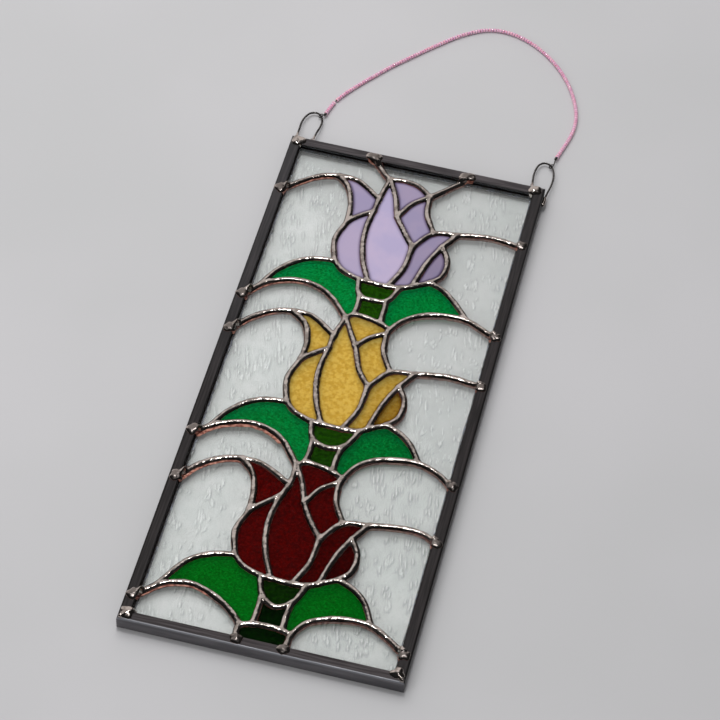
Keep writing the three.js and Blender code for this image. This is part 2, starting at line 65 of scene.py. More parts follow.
LEFT = -PANEL_WIDTH / 2
RIGHT = PANEL_WIDTH / 2


def placed(points):
    """Points in the drawing's millimetres, moved to the frame's metres."""
    return np.asarray(points, float) * MM + PANEL_ORIGIN


print(f"panel {PANEL_WIDTH:.1f} by {PANEL_LENGTH:.1f} mm, {len(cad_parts)} solids")

# %% [markdown]
# ## The camera
#
# The photograph was taken from far off, a little from the right, with the lens turned a few degrees. The
# place was found from the four corners of the frame: where they fall in the picture fixes the distance, the
# angle and the focal length together. The picture was cropped off centre, and a small lens shift does the
# same here.

# %% The camera
CAMERA_AIM = (37.05, 205.16, 8.5)
CAMERA_DISTANCE = 1640.5
CAMERA_ELEVATION = math.radians(50.58)
CAMERA_AZIMUTH = math.radians(9.017)
CAMERA_ROLL = math.radians(5.354)
LENS_MM = 148.76
SENSOR_MM = 36
SHIFT_X = -0.0858
SHIFT_Y = 0.0087


def add_camera():
    towards = Vector((
        math.sin(CAMERA_AZIMUTH) * math.cos(CAMERA_ELEVATION),
        -math.cos(CAMERA_AZIMUTH) * math.cos(CAMERA_ELEVATION),
        math.sin(CAMERA_ELEVATION),
    ))
    level = Vector((0, 0, 1)).cross(towards).normalized()
    upright = towards.cross(level)
    right = level * math.cos(CAMERA_ROLL) + upright * math.sin(CAMERA_ROLL)
    up = towards.cross(right)
    place = Vector(placed(CAMERA_AIM)) + towards * CAMERA_DISTANCE * MM
    data = bpy.data.cameras.new("camera")
    data.lens = LENS_MM
    data.sensor_width = SENSOR_MM
    data.shift_x = SHIFT_X
    data.shift_y = SHIFT_Y
    data.clip_start = 0.01
    camera = bpy.data.objects.new("camera", data)
    turn = Matrix((right, up, towards)).transposed().to_4x4()
    camera.matrix_world = Matrix.Translation(place) @ turn
    bpy.context.scene.collection.objects.link(camera)
    bpy.context.scene.camera = camera
    return camera


camera = add_camera()
print("camera at", [round(x, 3) for x in camera.matrix_world.translation])

# %% [markdown]
# ## Small helpers for materials
#
# A material here is a Principled BSDF with a few nodes in front of it. The helpers keep each material short:
# one adds a node and sets its values, one starts a material, and one starts a group that several materials
# share. Four small ones mix two colours, stretch a mask, read a number that the mesh holds, and link the
# results to the shader.

# %% Material helpers
def add_node(tree, kind, inputs=None, **settings):
    """A new node with its settings and input values. A value that is a socket is linked."""
    node = tree.nodes.new(kind)
    for key, value in settings.items():
        setattr(node, key, value)
    for key, value in (inputs or {}).items():
        if isinstance(value, bpy.types.NodeSocket):
            tree.links.new(value, node.inputs[key])
        else:
            node.inputs[key].default_value = value
    return node


def start_material(name, **values):
    """A material with its shader's plain values set. It returns the material, its tree and the shader."""
    material = bpy.data.materials.new(name)
    material.use_nodes = True
    tree = material.node_tree
    shader = tree.nodes["Principled BSDF"]
    for key, value in values.items():
        shader.inputs[key.replace("_", " ")].default_value = value
    return material, tree, shader


def start_group(name, inputs, outputs):
    """A shader node group with named inputs (name, kind, default) and outputs (name, kind)."""
    group = bpy.data.node_groups.new(name, "ShaderNodeTree")
    for title, kind, default in inputs:
        socket = group.interface.new_socket(title, in_out="INPUT", socket_type=kind)
        socket.default_value = default
    for title, kind in outputs:
        group.interface.new_socket(title, in_out="OUTPUT", socket_type=kind)
    return group, group.nodes.new("NodeGroupInput"), group.nodes.new("NodeGroupOutput")


def use_group(tree, group, **values):
    """The group placed in a material's tree, with its own values."""
    node = add_node(tree, "ShaderNodeGroup", node_tree=group)
    for key, value in values.items():
        socket = node.inputs[key.replace("_", " ")]
        if isinstance(value, bpy.types.NodeSocket):
            tree.links.new(value, socket)
        else:
            socket.default_value = value
    return node


def colour(red, green, blue):
    """A colour from the values that a paint program shows, from 0 to 255, as Blender's linear RGBA."""
    def linear(value):
        value = value / 255
        return value / 12.92 if value <= 0.04045 else ((value + 0.055) / 1.055) ** 2.4
    return (linear(red), linear(green), linear(blue), 1.0)


print("middle grey is", [round(part, 3) for part in colour(128, 128, 128)[:3]])


# %% Helpers that mix and link
def mixed(tree, factor, first, second, blend_type="MIX"):
    """The colour between the first and the second, at the factor."""
    node = add_node(tree, "ShaderNodeMix", {"Factor": factor, "A": first, "B": second}, data_type="RGBA",
                    blend_type=blend_type)
    return node.outputs["Result"]


def ranged(tree, mask, start, end):
    """A mask from 0 to 1, stretched to run from start to end."""
    node = add_node(tree, "ShaderNodeMapRange", {"Value": mask, "To Min": start, "To Max": end})
    return node.outputs["Result"]


def mesh_number(tree, name):
    """A number that the mesh holds for each vertex."""
    return add_node(tree, "ShaderNodeAttribute", attribute_name=name).outputs["Fac"]


def feed(tree, shader, **sources):
    """The shader's inputs linked to the given sockets."""
    for key, source in sources.items():
        tree.links.new(source, shader.inputs[key.replace("_", " ")])


# %% [markdown]
# ## Two effects that many finishes share
#
# Metal, glass and table all vary a little from place to place. "Mottle" is a soft noise, stretched if wanted,
# that comes out as a mask between two limits. "Fine relief" turns a noise into a bumped normal for what is
# too small to model. Both are groups, so each material only gives its own sizes.

# %% Shared groups
def mottle_group():
    group, given, out = start_group(
        "Mottle",
        [("Size", "NodeSocketFloat", 0.01), ("Stretch X", "NodeSocketFloat", 1.0),
         ("Stretch Y", "NodeSocketFloat", 1.0), ("Low", "NodeSocketFloat", 0.4),
         ("High", "NodeSocketFloat", 0.6), ("Detail", "NodeSocketFloat", 3.0)],
        [("Mask", "NodeSocketFloat")],
    )
    place = add_node(group, "ShaderNodeTexCoord")
    stretch = add_node(group, "ShaderNodeCombineXYZ", {
        "X": given.outputs["Stretch X"], "Y": given.outputs["Stretch Y"], "Z": 1.0})
    shaped = add_node(group, "ShaderNodeVectorMath", {0: place.outputs["Object"], 1: stretch.outputs[0]},
                      operation="DIVIDE")
    scale = add_node(group, "ShaderNodeMath", {0: 1.0, 1: given.outputs["Size"]}, operation="DIVIDE")
    noise = add_node(group, "ShaderNodeTexNoise", {
        "Vector": shaped.outputs[0], "Scale": scale.outputs[0], "Detail": given.outputs["Detail"]})
    limits = add_node(group, "ShaderNodeMapRange", {
        "Value": noise.outputs["Fac"], "From Min": given.outputs["Low"], "From Max": given.outputs["High"]},
        interpolation_type="SMOOTHSTEP")
    group.links.new(limits.outputs["Result"], out.inputs["Mask"])
    return group


def relief_group():
    group, given, out = start_group(
        "Fine relief",
        [("Size", "NodeSocketFloat", 0.001), ("Height", "NodeSocketFloat", 0.00005),
         ("Detail", "NodeSocketFloat", 2.0)],
        [("Normal", "NodeSocketVector")],
    )
    place = add_node(group, "ShaderNodeTexCoord")
    scale = add_node(group, "ShaderNodeMath", {0: 1.0, 1: given.outputs["Size"]}, operation="DIVIDE")
    noise = add_node(group, "ShaderNodeTexNoise", {
        "Vector": place.outputs["Object"], "Scale": scale.outputs[0], "Detail": given.outputs["Detail"]})
    bump = add_node(group, "ShaderNodeBump", {
        "Height": noise.outputs["Fac"], "Distance": given.outputs["Height"], "Strength": 1.0})
    group.links.new(bump.outputs["Normal"], out.inputs["Normal"])
    return group


MOTTLE = mottle_group()
RELIEF = relief_group()
print("groups:", MOTTLE.name, "and", RELIEF.name)

# %% [markdown]
# ## Metal finishes
#
# Solder is tin, bright and uneven: it mirrors the room in hard bands of white and black, so its roughness is
# low and its shape does the work. Where it grew old it is a little duller, and the blobs on the frame are
# satin. Beside the glass a dark line runs along the crease: partly patina gathered there, partly painted shade
# of the crease, and in places the dark red of the foil. The bare foil is a brownish pink. The zinc channel has
# a dark chemical patina, so it is a dull metal with paler streaks along each bar. Its edges are darkest, partly
# from patina and partly from painted shade, and a painted highlight runs along the crest of the bottom bar. Two
# numbers on the mesh say where that is.

# %% Colours of the metals
SOLDER_COLOUR = colour(214, 204, 198)
SOLDER_DULL = colour(168, 158, 152)
SOLDER_SATIN = colour(138, 130, 126)
# Dark line in the crease beside the glass: partly patina, partly painted shade.
DARK_PATINA_AND_SHADE = colour(36, 31, 31)
FOIL_COLOUR = colour(184, 128, 110)
FOIL_BROWN = colour(116, 62, 50)
FOIL_DARK = colour(98, 26, 18)
FOIL_BLACK = colour(20, 16, 17)
FOIL_BACKING = colour(92, 94, 112)
ZINC_DARK = colour(54, 48, 50)
ZINC_PALE = colour(88, 82, 84)
ZINC_UPRIGHT_DARK = colour(32, 28, 29)
ZINC_UPRIGHT_PALE = colour(52, 47, 48)
# Dark zinc for the streaks, and for the edges, where it is partly patina and partly painted shade.
ZINC_PATINA_AND_SHADE = colour(18, 15, 15)
# Bare zinc inside the channel, also used for a painted highlight and painted light on the bottom bar.
ZINC_BARE_AND_LIT = colour(150, 152, 158)
WIRE_COLOUR = colour(118, 116, 114)
for title, tone in (("solder", SOLDER_COLOUR), ("zinc", ZINC_PALE), ("foil", FOIL_COLOUR)):
    print(title, [round(part, 2) for part in tone[:3]])


# %% Solder and foil
BRIGHT_ROUGHNESS = 0.13
DULL_ROUGHNESS = 0.24
SATIN_ROUGHNESS = 0.28
FOIL_METALLIC = 0.4


def solder_material():
    material, tree, shader = start_material("solder", Metallic=1.0)
    age = use_group(tree, MOTTLE, Size=0.004, Low=0.4, High=0.65).outputs["Mask"]
    aged = mixed(tree, age, SOLDER_COLOUR, SOLDER_DULL)
    satin = mesh_number(tree, "satin")
    dulled = mixed(tree, satin, aged, SOLDER_SATIN)
    # Painted shade and patina: the bead's edge beside the glass is darkened.
    rim = mesh_number(tree, "rim")
    crease_shaded = mixed(tree, rim, dulled, DARK_PATINA_AND_SHADE)
    patchy = use_group(tree, MOTTLE, Size=0.012, Low=0.5, High=0.6).outputs["Mask"]
    bare = add_node(tree, "ShaderNodeMath", {0: rim, 1: patchy}, operation="MULTIPLY").outputs[0]
    rimmed = mixed(tree, bare, crease_shaded, FOIL_DARK)
    metal = ranged(tree, bare, 1.0, FOIL_METALLIC)
    clean = ranged(tree, age, BRIGHT_ROUGHNESS, DULL_ROUGHNESS)
    rough = add_node(tree, "ShaderNodeMix", {"Factor": satin, "A": clean, "B": SATIN_ROUGHNESS})
    fine = use_group(tree, RELIEF, Size=0.0016, Height=0.00012, Detail=3.0)
    feed(tree, shader, Base_Color=rimmed, Metallic=metal, Roughness=rough.outputs["Result"],
         Normal=fine.outputs["Normal"])
    return material


def foil_material(name, pale, dark, metallic):
    material, tree, shader = start_material(name, Metallic=metallic, Roughness=0.4)
    patchy = use_group(tree, MOTTLE, Size=0.0018, Low=0.42, High=0.6)
    tone = mixed(tree, patchy.outputs["Mask"], pale, dark)
    fine = use_group(tree, RELIEF, Size=0.001, Height=0.0002)
    feed(tree, shader, Base_Color=tone, Normal=fine.outputs["Normal"])
    return material


SOLDER = solder_material()
FOIL = foil_material("copper_foil", FOIL_COLOUR, FOIL_BROWN, metallic=0.35)
BLACK_FOIL = foil_material("black_foil", FOIL_BLACK, DARK_PATINA_AND_SHADE, metallic=0.6)
FOIL_BACK = foil_material("foil_backing", FOIL_BACKING, ZINC_DARK, metallic=0.5)
print("finishes:", SOLDER.name, FOIL.name, BLACK_FOIL.name, FOIL_BACK.name)


# %% Zinc and wire
STREAK_STRETCH = 24.0
STREAK_STRENGTH = 0.3


def zinc_material(name, stretch_x, stretch_y, dark, pale):
    """Patinated zinc with its drawing streaks along x or along y, dark where patina gathers and where shade is
    painted, bare inside, with painted light on the bottom bar.
    """
    material, tree, shader = start_material(name, Metallic=0.5)
    broad = use_group(tree, MOTTLE, Size=0.004, Stretch_X=stretch_x / 4, Stretch_Y=stretch_y / 4, Low=0.35,
                      High=0.7).outputs["Mask"]
    tone = mixed(tree, broad, dark, pale)
    streak = use_group(tree, MOTTLE, Size=0.0009, Stretch_X=stretch_x, Stretch_Y=stretch_y, Low=0.4, High=0.8)
    drawn = mixed(tree, ranged(tree, streak.outputs["Mask"], 0.0, STREAK_STRENGTH), tone, ZINC_PATINA_AND_SHADE)
    # Patina and painted shade along the edges.
    patina_and_shade_darkened = mixed(tree, mesh_number(tree, "dark_patina_and_shade"), drawn, ZINC_PATINA_AND_SHADE)
    # Bare metal inside, and a painted highlight and painted light on the bottom bar.
    bare_and_lit = mixed(tree, mesh_number(tree, "bare_metal_and_highlight"), patina_and_shade_darkened, ZINC_BARE_AND_LIT)
    fine = use_group(tree, RELIEF, Size=0.0012, Height=0.00002, Detail=4.0)
    feed(tree, shader, Base_Color=bare_and_lit, Roughness=ranged(tree, broad, 0.45, 0.34),
         Normal=fine.outputs["Normal"])
    return material


def wire_material():
    material, tree, shader = start_material("wire", Metallic=1.0)
    dull = use_group(tree, MOTTLE, Size=0.003, Low=0.4, High=0.7).outputs["Mask"]
    feed(tree, shader, Base_Color=mixed(tree, dull, WIRE_COLOUR, ZINC_DARK),
         Roughness=ranged(tree, dull, 0.25, 0.5))
    return material


ZINC_ACROSS = zinc_material("zinc_across", STREAK_STRETCH, 1.0, ZINC_DARK, ZINC_PALE)
ZINC_UPRIGHT = zinc_material("zinc_upright", 1.0, STREAK_STRETCH, ZINC_UPRIGHT_DARK, ZINC_UPRIGHT_PALE)
WIRE = wire_material()
print("finishes:", ZINC_ACROSS.name, ZINC_UPRIGHT.name, WIRE.name)

# %% [markdown]
# ## The bead strand
#
# About 150 seed beads are threaded on a thin wire that runs from loop to loop and lies on the table. A bead
# is a small ring of glass, wider than it is long, and the beads touch. One bead repeated along a curve is a
# job for Geometry Nodes: the tree sets a point every bead length and puts a ring on each, turned to the
# curve. One bead is left out, and there the wire shows. The tree's sizes are inputs, and the small
# differences between beads come from a fixed seed. The wire itself is a plain tube along the same line.

# %% The strand's route
STRAND_ROUTE = [
    (-62.8, 384.2, 1.9), (-62.0, 388.6, 1.4), (-60.4, 394.6, 1.25), (-57.2, 401.4, 1.25),
    (-52.6, 409.0, 1.25), (-47.0, 417.2, 1.25), (-40.8, 425.6, 1.25), (-34.2, 434.4, 1.25),
    (-26.8, 443.0, 1.25), (-18.8, 452.2, 1.25), (-10.6, 461.2, 1.25), (-2.6, 469.4, 1.25),
    (5.8, 476.2, 1.25), (14.4, 480.9, 1.25), (23.4, 482.6, 1.25), (32.6, 481.4, 1.25),
    (42.0, 477.8, 1.25), (51.8, 471.6, 1.25), (61.4, 462.8, 1.25), (70.0, 451.6, 1.25),
    (76.6, 439.0, 1.25), (80.9, 426.0, 1.25), (82.0, 414.0, 1.25), (80.6, 403.6, 1.25),
    (78.4, 394.4, 1.4), (76.9, 387.8, 1.9),
]
BEAD_DIAMETER = 2.4
BEAD_LENGTH = 1.66
BEAD_HOLE = 0.8
BEAD_PITCH = 1.7
BEAD_WIRE_RADIUS = 0.3
GAP_BEAD = 7
STRAND_STEP = 1.5


def smooth_line(points, step):
    """A smooth line through the drawn points, with a new point about every step. It is a centripetal
    Catmull-Rom curve, which neither overshoots nor makes loops where points lie close together."""
    drawn = np.asarray(points, float)
    before = 2 * drawn[0] - drawn[1]
    after = 2 * drawn[-1] - drawn[-2]
    drawn = np.vstack([before, drawn, after])
    line = [drawn[1]]
    for p0, p1, p2, p3 in zip(drawn[:-3], drawn[1:-2], drawn[2:-1], drawn[3:]):
        t1 = np.linalg.norm(p1 - p0) ** 0.5
        t2 = t1 + np.linalg.norm(p2 - p1) ** 0.5
        t3 = t2 + np.linalg.norm(p3 - p2) ** 0.5
        count = max(1, round(np.linalg.norm(p2 - p1) / step))
        for t in t1 + (t2 - t1) * np.arange(1, count + 1) / count:
            a1 = (p0 * (t1 - t) + p1 * t) / t1
            a2 = (p1 * (t2 - t) + p2 * (t - t1)) / (t2 - t1)
            a3 = (p2 * (t3 - t) + p3 * (t - t2)) / (t3 - t2)
            b1 = (a1 * (t2 - t) + a2 * t) / t2
            b2 = (a2 * (t3 - t) + a3 * (t - t1)) / (t3 - t1)
            line.append((b1 * (t2 - t) + b2 * (t - t1)) / (t2 - t1))
    return np.array(line)


def length_of(line):
    return float(np.linalg.norm(np.diff(line, axis=0), axis=1).sum())


strand_line = smooth_line(STRAND_ROUTE, STRAND_STEP)
print(f"strand {length_of(strand_line):.0f} mm long")

# %% [markdown]
# ## Glass for the beads
#
# Seed beads are cut from a thin tube of glass and tumbled until their edges are round. These are milky pink,
# so light that enters a bead wanders inside it and the whole bead glows, with one sharp glint on top. A
# little subsurface scattering gives the glow and a clear coat gives the glint, without tracing light through
# each bead.

# %% Glass for the beads
BEAD_PINK = colour(240, 194, 214)
BEAD_DEEP = colour(224, 160, 190)


def bead_material():
    material, tree, shader = start_material(
        "pink_beads", Roughness=0.08, Coat_Weight=0.6, Coat_Roughness=0.03, Subsurface_Weight=0.2,
        Subsurface_Scale=0.001)
    tint = use_group(tree, MOTTLE, Size=0.002, Low=0.35, High=0.65)
    feed(tree, shader, Base_Color=mixed(tree, tint.outputs["Mask"], BEAD_PINK, BEAD_DEEP))
    return material


BEADS = bead_material()
print("bead glass:", BEADS.name)

# %% The strand's Geometry Nodes tree
BEAD_SIDES = 12
WALL_SIDES = 6
BEAD_SEED = 7


def strand_tree():
    tree = bpy.data.node_groups.new("Bead strand", "GeometryNodeTree")
    tree.interface.new_socket("Route", in_out="INPUT", socket_type="NodeSocketGeometry")
    sizes = {
        "Pitch": BEAD_PITCH, "Bead diameter": BEAD_DIAMETER, "Bead length": BEAD_LENGTH, "Hole": BEAD_HOLE}
    for title, default in sizes.items():
        socket = tree.interface.new_socket(title, in_out="INPUT", socket_type="NodeSocketFloat")
        socket.default_value = default * MM
    for title, default in (("Gap bead", GAP_BEAD), ("Seed", BEAD_SEED)):
        socket = tree.interface.new_socket(title, in_out="INPUT", socket_type="NodeSocketInt")
        socket.default_value = default
    tree.interface.new_socket("Bead glass", in_out="INPUT", socket_type="NodeSocketMaterial")
    tree.interface.new_socket("Strand", in_out="OUTPUT", socket_type="NodeSocketGeometry")
    given = tree.nodes.new("NodeGroupInput").outputs
    out = tree.nodes.new("NodeGroupOutput")

    def maths(operation, a, b):
        return add_node(tree, "ShaderNodeMath", {0: a, 1: b}, operation=operation).outputs[0]

    wall = maths("DIVIDE", maths("SUBTRACT", given["Bead diameter"], given["Hole"]), 4.0)
    middle = maths("DIVIDE", maths("ADD", given["Bead diameter"], given["Hole"]), 4.0)
    ring = add_node(tree, "GeometryNodeCurvePrimitiveCircle", {"Resolution": BEAD_SIDES, "Radius": middle})
    section = add_node(tree, "GeometryNodeCurvePrimitiveCircle", {"Resolution": WALL_SIDES, "Radius": wall})
    bead = add_node(tree, "GeometryNodeCurveToMesh", {
        "Curve": ring.outputs["Curve"], "Profile Curve": section.outputs["Curve"]})
    tall = maths("DIVIDE", given["Bead length"], maths("MULTIPLY", wall, 2.0))
    size = add_node(tree, "ShaderNodeCombineXYZ", {"X": 1.0, "Y": 1.0, "Z": tall})
    shaped = add_node(tree, "GeometryNodeTransform", {"Geometry": bead.outputs[0], "Scale": size.outputs[0]})
    smooth = add_node(tree, "GeometryNodeSetShadeSmooth", {"Geometry": shaped.outputs[0]})

    points = add_node(tree, "GeometryNodeCurveToPoints", {"Curve": given["Route"], "Length": given["Pitch"]},
                      mode="LENGTH")
    index = add_node(tree, "GeometryNodeInputIndex")
    kept = add_node(tree, "FunctionNodeCompare", data_type="INT", operation="NOT_EQUAL")
    tree.links.new(index.outputs[0], kept.inputs[2])
    tree.links.new(given["Gap bead"], kept.inputs[3])
    vary = add_node(tree, "FunctionNodeRandomValue", {
        "Min": (0.97, 0.97, 0.93), "Max": (1.0, 1.0, 1.0), "Seed": given["Seed"]}, data_type="FLOAT_VECTOR")
    beads = add_node(tree, "GeometryNodeInstanceOnPoints", {
        "Points": points.outputs["Points"], "Selection": kept.outputs["Result"],
        "Instance": smooth.outputs[0], "Rotation": points.outputs["Rotation"],
        "Scale": vary.outputs["Value"]})
    real = add_node(tree, "GeometryNodeRealizeInstances", {"Geometry": beads.outputs[0]})
    glassy = add_node(tree, "GeometryNodeSetMaterial", {
        "Geometry": real.outputs[0], "Material": given["Bead glass"]})
    tree.links.new(glassy.outputs[0], out.inputs["Strand"])
    return tree


STRAND_TREE = strand_tree()
print("the tree has", len(STRAND_TREE.nodes), "nodes")


# %% The strand along its route
def route_curve(name, line):
    """A curve object whose one open spline runs through the line's points."""
    data = bpy.data.curves.new(name, "CURVE")
    data.dimensions = "3D"
    spline = data.splines.new("POLY")
    spline.points.add(len(line) - 1)
    for point, place in zip(spline.points, placed(line)):
        point.co = (*place, 1.0)
    route = bpy.data.objects.new(name, data)
    bpy.context.scene.collection.objects.link(route)
    return route


def socket_id(tree, title):
    return next(item.identifier for item in tree.interface.items_tree if item.name == title)


def baked(source, name):
    """The evaluated object as a plain mesh object. The source, with its modifier, is removed."""
    depsgraph = bpy.context.evaluated_depsgraph_get()
    mesh = bpy.data.meshes.new_from_object(source.evaluated_get(depsgraph), depsgraph=depsgraph)
    source.modifiers.clear()
    bpy.data.objects.remove(source)
    piece = bpy.data.objects.new(name, mesh)
    bpy.context.scene.collection.objects.link(piece)
    return piece


def make_strand():
    route = route_curve("strand_route", strand_line)
    threaded = route.modifiers.new("Bead strand", "NODES")
    threaded.node_group = STRAND_TREE
    threaded[socket_id(STRAND_TREE, "Bead glass")] = BEADS
    strand = baked(route, "strand_of_beads")
    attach(strand, "root")
    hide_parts("bead_strand")
    return strand


strand = make_strand()
print("strand faces:", len(strand.data.polygons))

# %% [markdown]
# ## Tubes: loops, ties and the ends of the strand
#
# The two hanging loops are soft steel wire, bent by hand over the top bar and soldered down. The strand hangs
# in them by a small wire ring and a squashed metal crimp at each end. All are round things that follow a
# line, so one helper sweeps a ring of points along a line, with a radius for each point, and closes the ends.
# The ring is carried along without twist, so that the surface stays smooth where the line bends.

# %% A tube along a line
def tube(line, radii, sides=14, closed=False):
    """Vertices and faces of a tube along the line (mm), with a radius for each point or one for all."""
    line = np.asarray(line, float)
    count = len(line)
    radii = np.broadcast_to(radii, (count,))
    if closed:
        ahead = np.roll(line, -1, axis=0) - np.roll(line, 1, axis=0)
    else:
        ahead = np.gradient(line, axis=0)
    ahead /= np.linalg.norm(ahead, axis=1)[:, None]
    side = np.cross(ahead[0], (0.0, 0.0, 1.0))
    if np.linalg.norm(side) < 0.1:
        side = np.cross(ahead[0], (0.0, 1.0, 0.0))
    angles = np.arange(sides) * 2 * math.pi / sides
    vertices = []
    for point, direction, radius in zip(line, ahead, radii):
        side = side - direction * side.dot(direction)
        side /= np.linalg.norm(side)
        across = np.cross(direction, side)
        ring = np.outer(np.cos(angles), side) + np.outer(np.sin(angles), across)
        vertices.append(point + ring * radius)
    faces = []
    for i in range(count if closed else count - 1):
        here, there = i * sides, (i + 1) % count * sides
        for k in range(sides):
            after = (k + 1) % sides
            faces.append((here + k, here + after, there + after, there + k))
    if not closed:
        faces.append(tuple(range(sides))[::-1])
        faces.append(tuple(range((count - 1) * sides, count * sides)))
    return np.vstack(vertices), faces


def joined_shapes(shapes):
    """Several (vertices, faces) pairs as one pair."""
    vertices, faces, first = [], [], 0
    for points, polygons in shapes:
        vertices.append(points)
        faces += [tuple(first + k for k in polygon) for polygon in polygons]
        first += len(points)
    return np.vstack(vertices), faces


def add_piece(name, vertices, faces, material, slot, replaced=(), smooth_angle=40):
    """A mesh object in the frame's metres that rides on the panel and stands for the named solids."""
    mesh = bpy.data.meshes.new(name)
    mesh.from_pydata(placed(vertices).tolist(), [], faces)
    mesh.polygons.foreach_set("use_smooth", [True] * len(mesh.polygons))
    if smooth_angle:
        mesh.set_sharp_from_angle(angle=math.radians(smooth_angle))
    mesh.materials.append(material)
    piece = bpy.data.objects.new(name, mesh)
    bpy.context.scene.collection.objects.link(piece)
    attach(piece, "root")
    if replaced:
        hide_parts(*replaced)
    return piece


# %% The wire loops
WIRE_RADIUS = 0.6
LOOP_STEP = 0.8
LEFT_LOOP = [
    (-74.2, 356.0, 4.5), (-74.5, 365.8, 3.6), (-74.6, 372.1, 3.0), (-73.7, 377.2, 2.5), (-71.6, 381.2, 2.1),
    (-68.2, 382.6, 1.9), (-65.2, 380.9, 2.1), (-63.4, 377.0, 2.4), (-63.2, 371.0, 3.0), (-63.9, 365.4, 3.6),
    (-64.6, 356.0, 4.5),
]
RIGHT_LOOP = [
    (67.9, 356.0, 4.5), (67.1, 363.5, 3.8), (66.7, 368.6, 3.3), (67.0, 374.0, 2.7), (68.2, 378.2, 2.4),
    (70.6, 380.6, 2.1), (73.2, 380.5, 2.1), (75.7, 378.4, 2.3), (77.6, 373.9, 2.8), (78.4, 368.4, 3.3),
    (78.3, 362.0, 3.9), (77.4, 355.6, 4.4), (76.9, 350.0, 4.4), (76.9, 346.0, 4.2),
]


def loop_piece(name, drawn):
    """The loop, bent along the drawn points. It returns the wire's line."""
    line = smooth_line(drawn, LOOP_STEP)
    vertices, faces = tube(line, WIRE_RADIUS)
    add_piece(name, vertices, faces, WIRE, "wire", [name.replace("loop_of", "wire_loop")])
    return line


left_loop_line = loop_piece("loop_of_left", LEFT_LOOP)
right_loop_line = loop_piece("loop_of_right", RIGHT_LOOP)
print(f"loop wires {length_of(left_loop_line):.0f} and {length_of(right_loop_line):.0f} mm long")

# %% The ties between loop and strand
TIE_WIRE_RADIUS = 0.35
TIE_RING_RADIUS = 1.3
TIE_STEP = 0.5
CRIMP_RADIUS = 0.9
CRIMP_LENGTH = 2.4
CRIMP_GAP = 0.3
CRIMP_STOPS = np.array((0, 0.12, 0.25, 0.5, 0.75, 0.88, 1))
CRIMP_SWELL = np.array((0.6, 0.92, 1.0, 0.86, 1.0, 0.92, 0.6))
RING_STEPS = 20
LEFT_HOOK = (-65.0, 380.6, 2.1)
RIGHT_HOOK = (74.9, 379.3, 2.2)


def tie_piece(name, hook, loop_line, strand_end, strand_next, node):
    """A ring round the loop's wire at the hook, a crimp before the first bead, and a wire between them."""
    hook = np.array(hook)
    end = np.array(strand_end)
    nearest = int(np.argmin(np.linalg.norm(loop_line - hook, axis=1)))
    along = loop_line[nearest + 1] - loop_line[nearest - 1]
    along /= np.linalg.norm(along)
    centre = loop_line[nearest]
    outwards = end - np.array(strand_next)
    outwards /= np.linalg.norm(outwards)
    crimp_end = end + outwards * CRIMP_GAP
    crimp_start = crimp_end + outwards * CRIMP_LENGTH
    towards = crimp_start - centre
    towards -= along * towards.dot(along)
    towards /= np.linalg.norm(towards)
    upwards = np.cross(along, towards)
    turn = np.arange(RING_STEPS) * 2 * math.pi / RING_STEPS
    ring = centre + TIE_RING_RADIUS * (np.outer(np.cos(turn), towards) + np.outer(np.sin(turn), upwards))
    halfway = (centre + towards * 2 + crimp_start) / 2
    wire = smooth_line([centre + towards * TIE_RING_RADIUS, halfway, crimp_start, end], TIE_STEP)
    crimp = crimp_start + np.outer(CRIMP_STOPS, crimp_end - crimp_start)
    shape = joined_shapes([
        tube(ring, TIE_WIRE_RADIUS, 8, closed=True), tube(wire, TIE_WIRE_RADIUS, 8),
        tube(crimp, CRIMP_RADIUS * CRIMP_SWELL, 12)])
    return add_piece(name, *shape, WIRE, "wire", [node])


left_tie = tie_piece(
    "tie_left", LEFT_HOOK, left_loop_line, STRAND_ROUTE[0], STRAND_ROUTE[1], "strand_wire_left")
right_tie = tie_piece(
    "tie_right", RIGHT_HOOK, right_loop_line, STRAND_ROUTE[-1], STRAND_ROUTE[-2], "strand_wire_right")
thread = add_piece("wire_in_the_beads", *tube(strand_line, BEAD_WIRE_RADIUS, 6), WIRE, "wire")
print("strand declared,", round(length_of(strand_line)), "mm")

# %% [markdown]
# ## The seam drawing
#
# The panel's pattern is a set of lines, as a glazier's paper cartoon is. Each tulip is drawn in its own
# units, from the left edge across and from its foot up, and the three differ a little, as hand-cut glass
# does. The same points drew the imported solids. Solder and glass both come from these lines: solder lies along
# them, glass fills the fields.

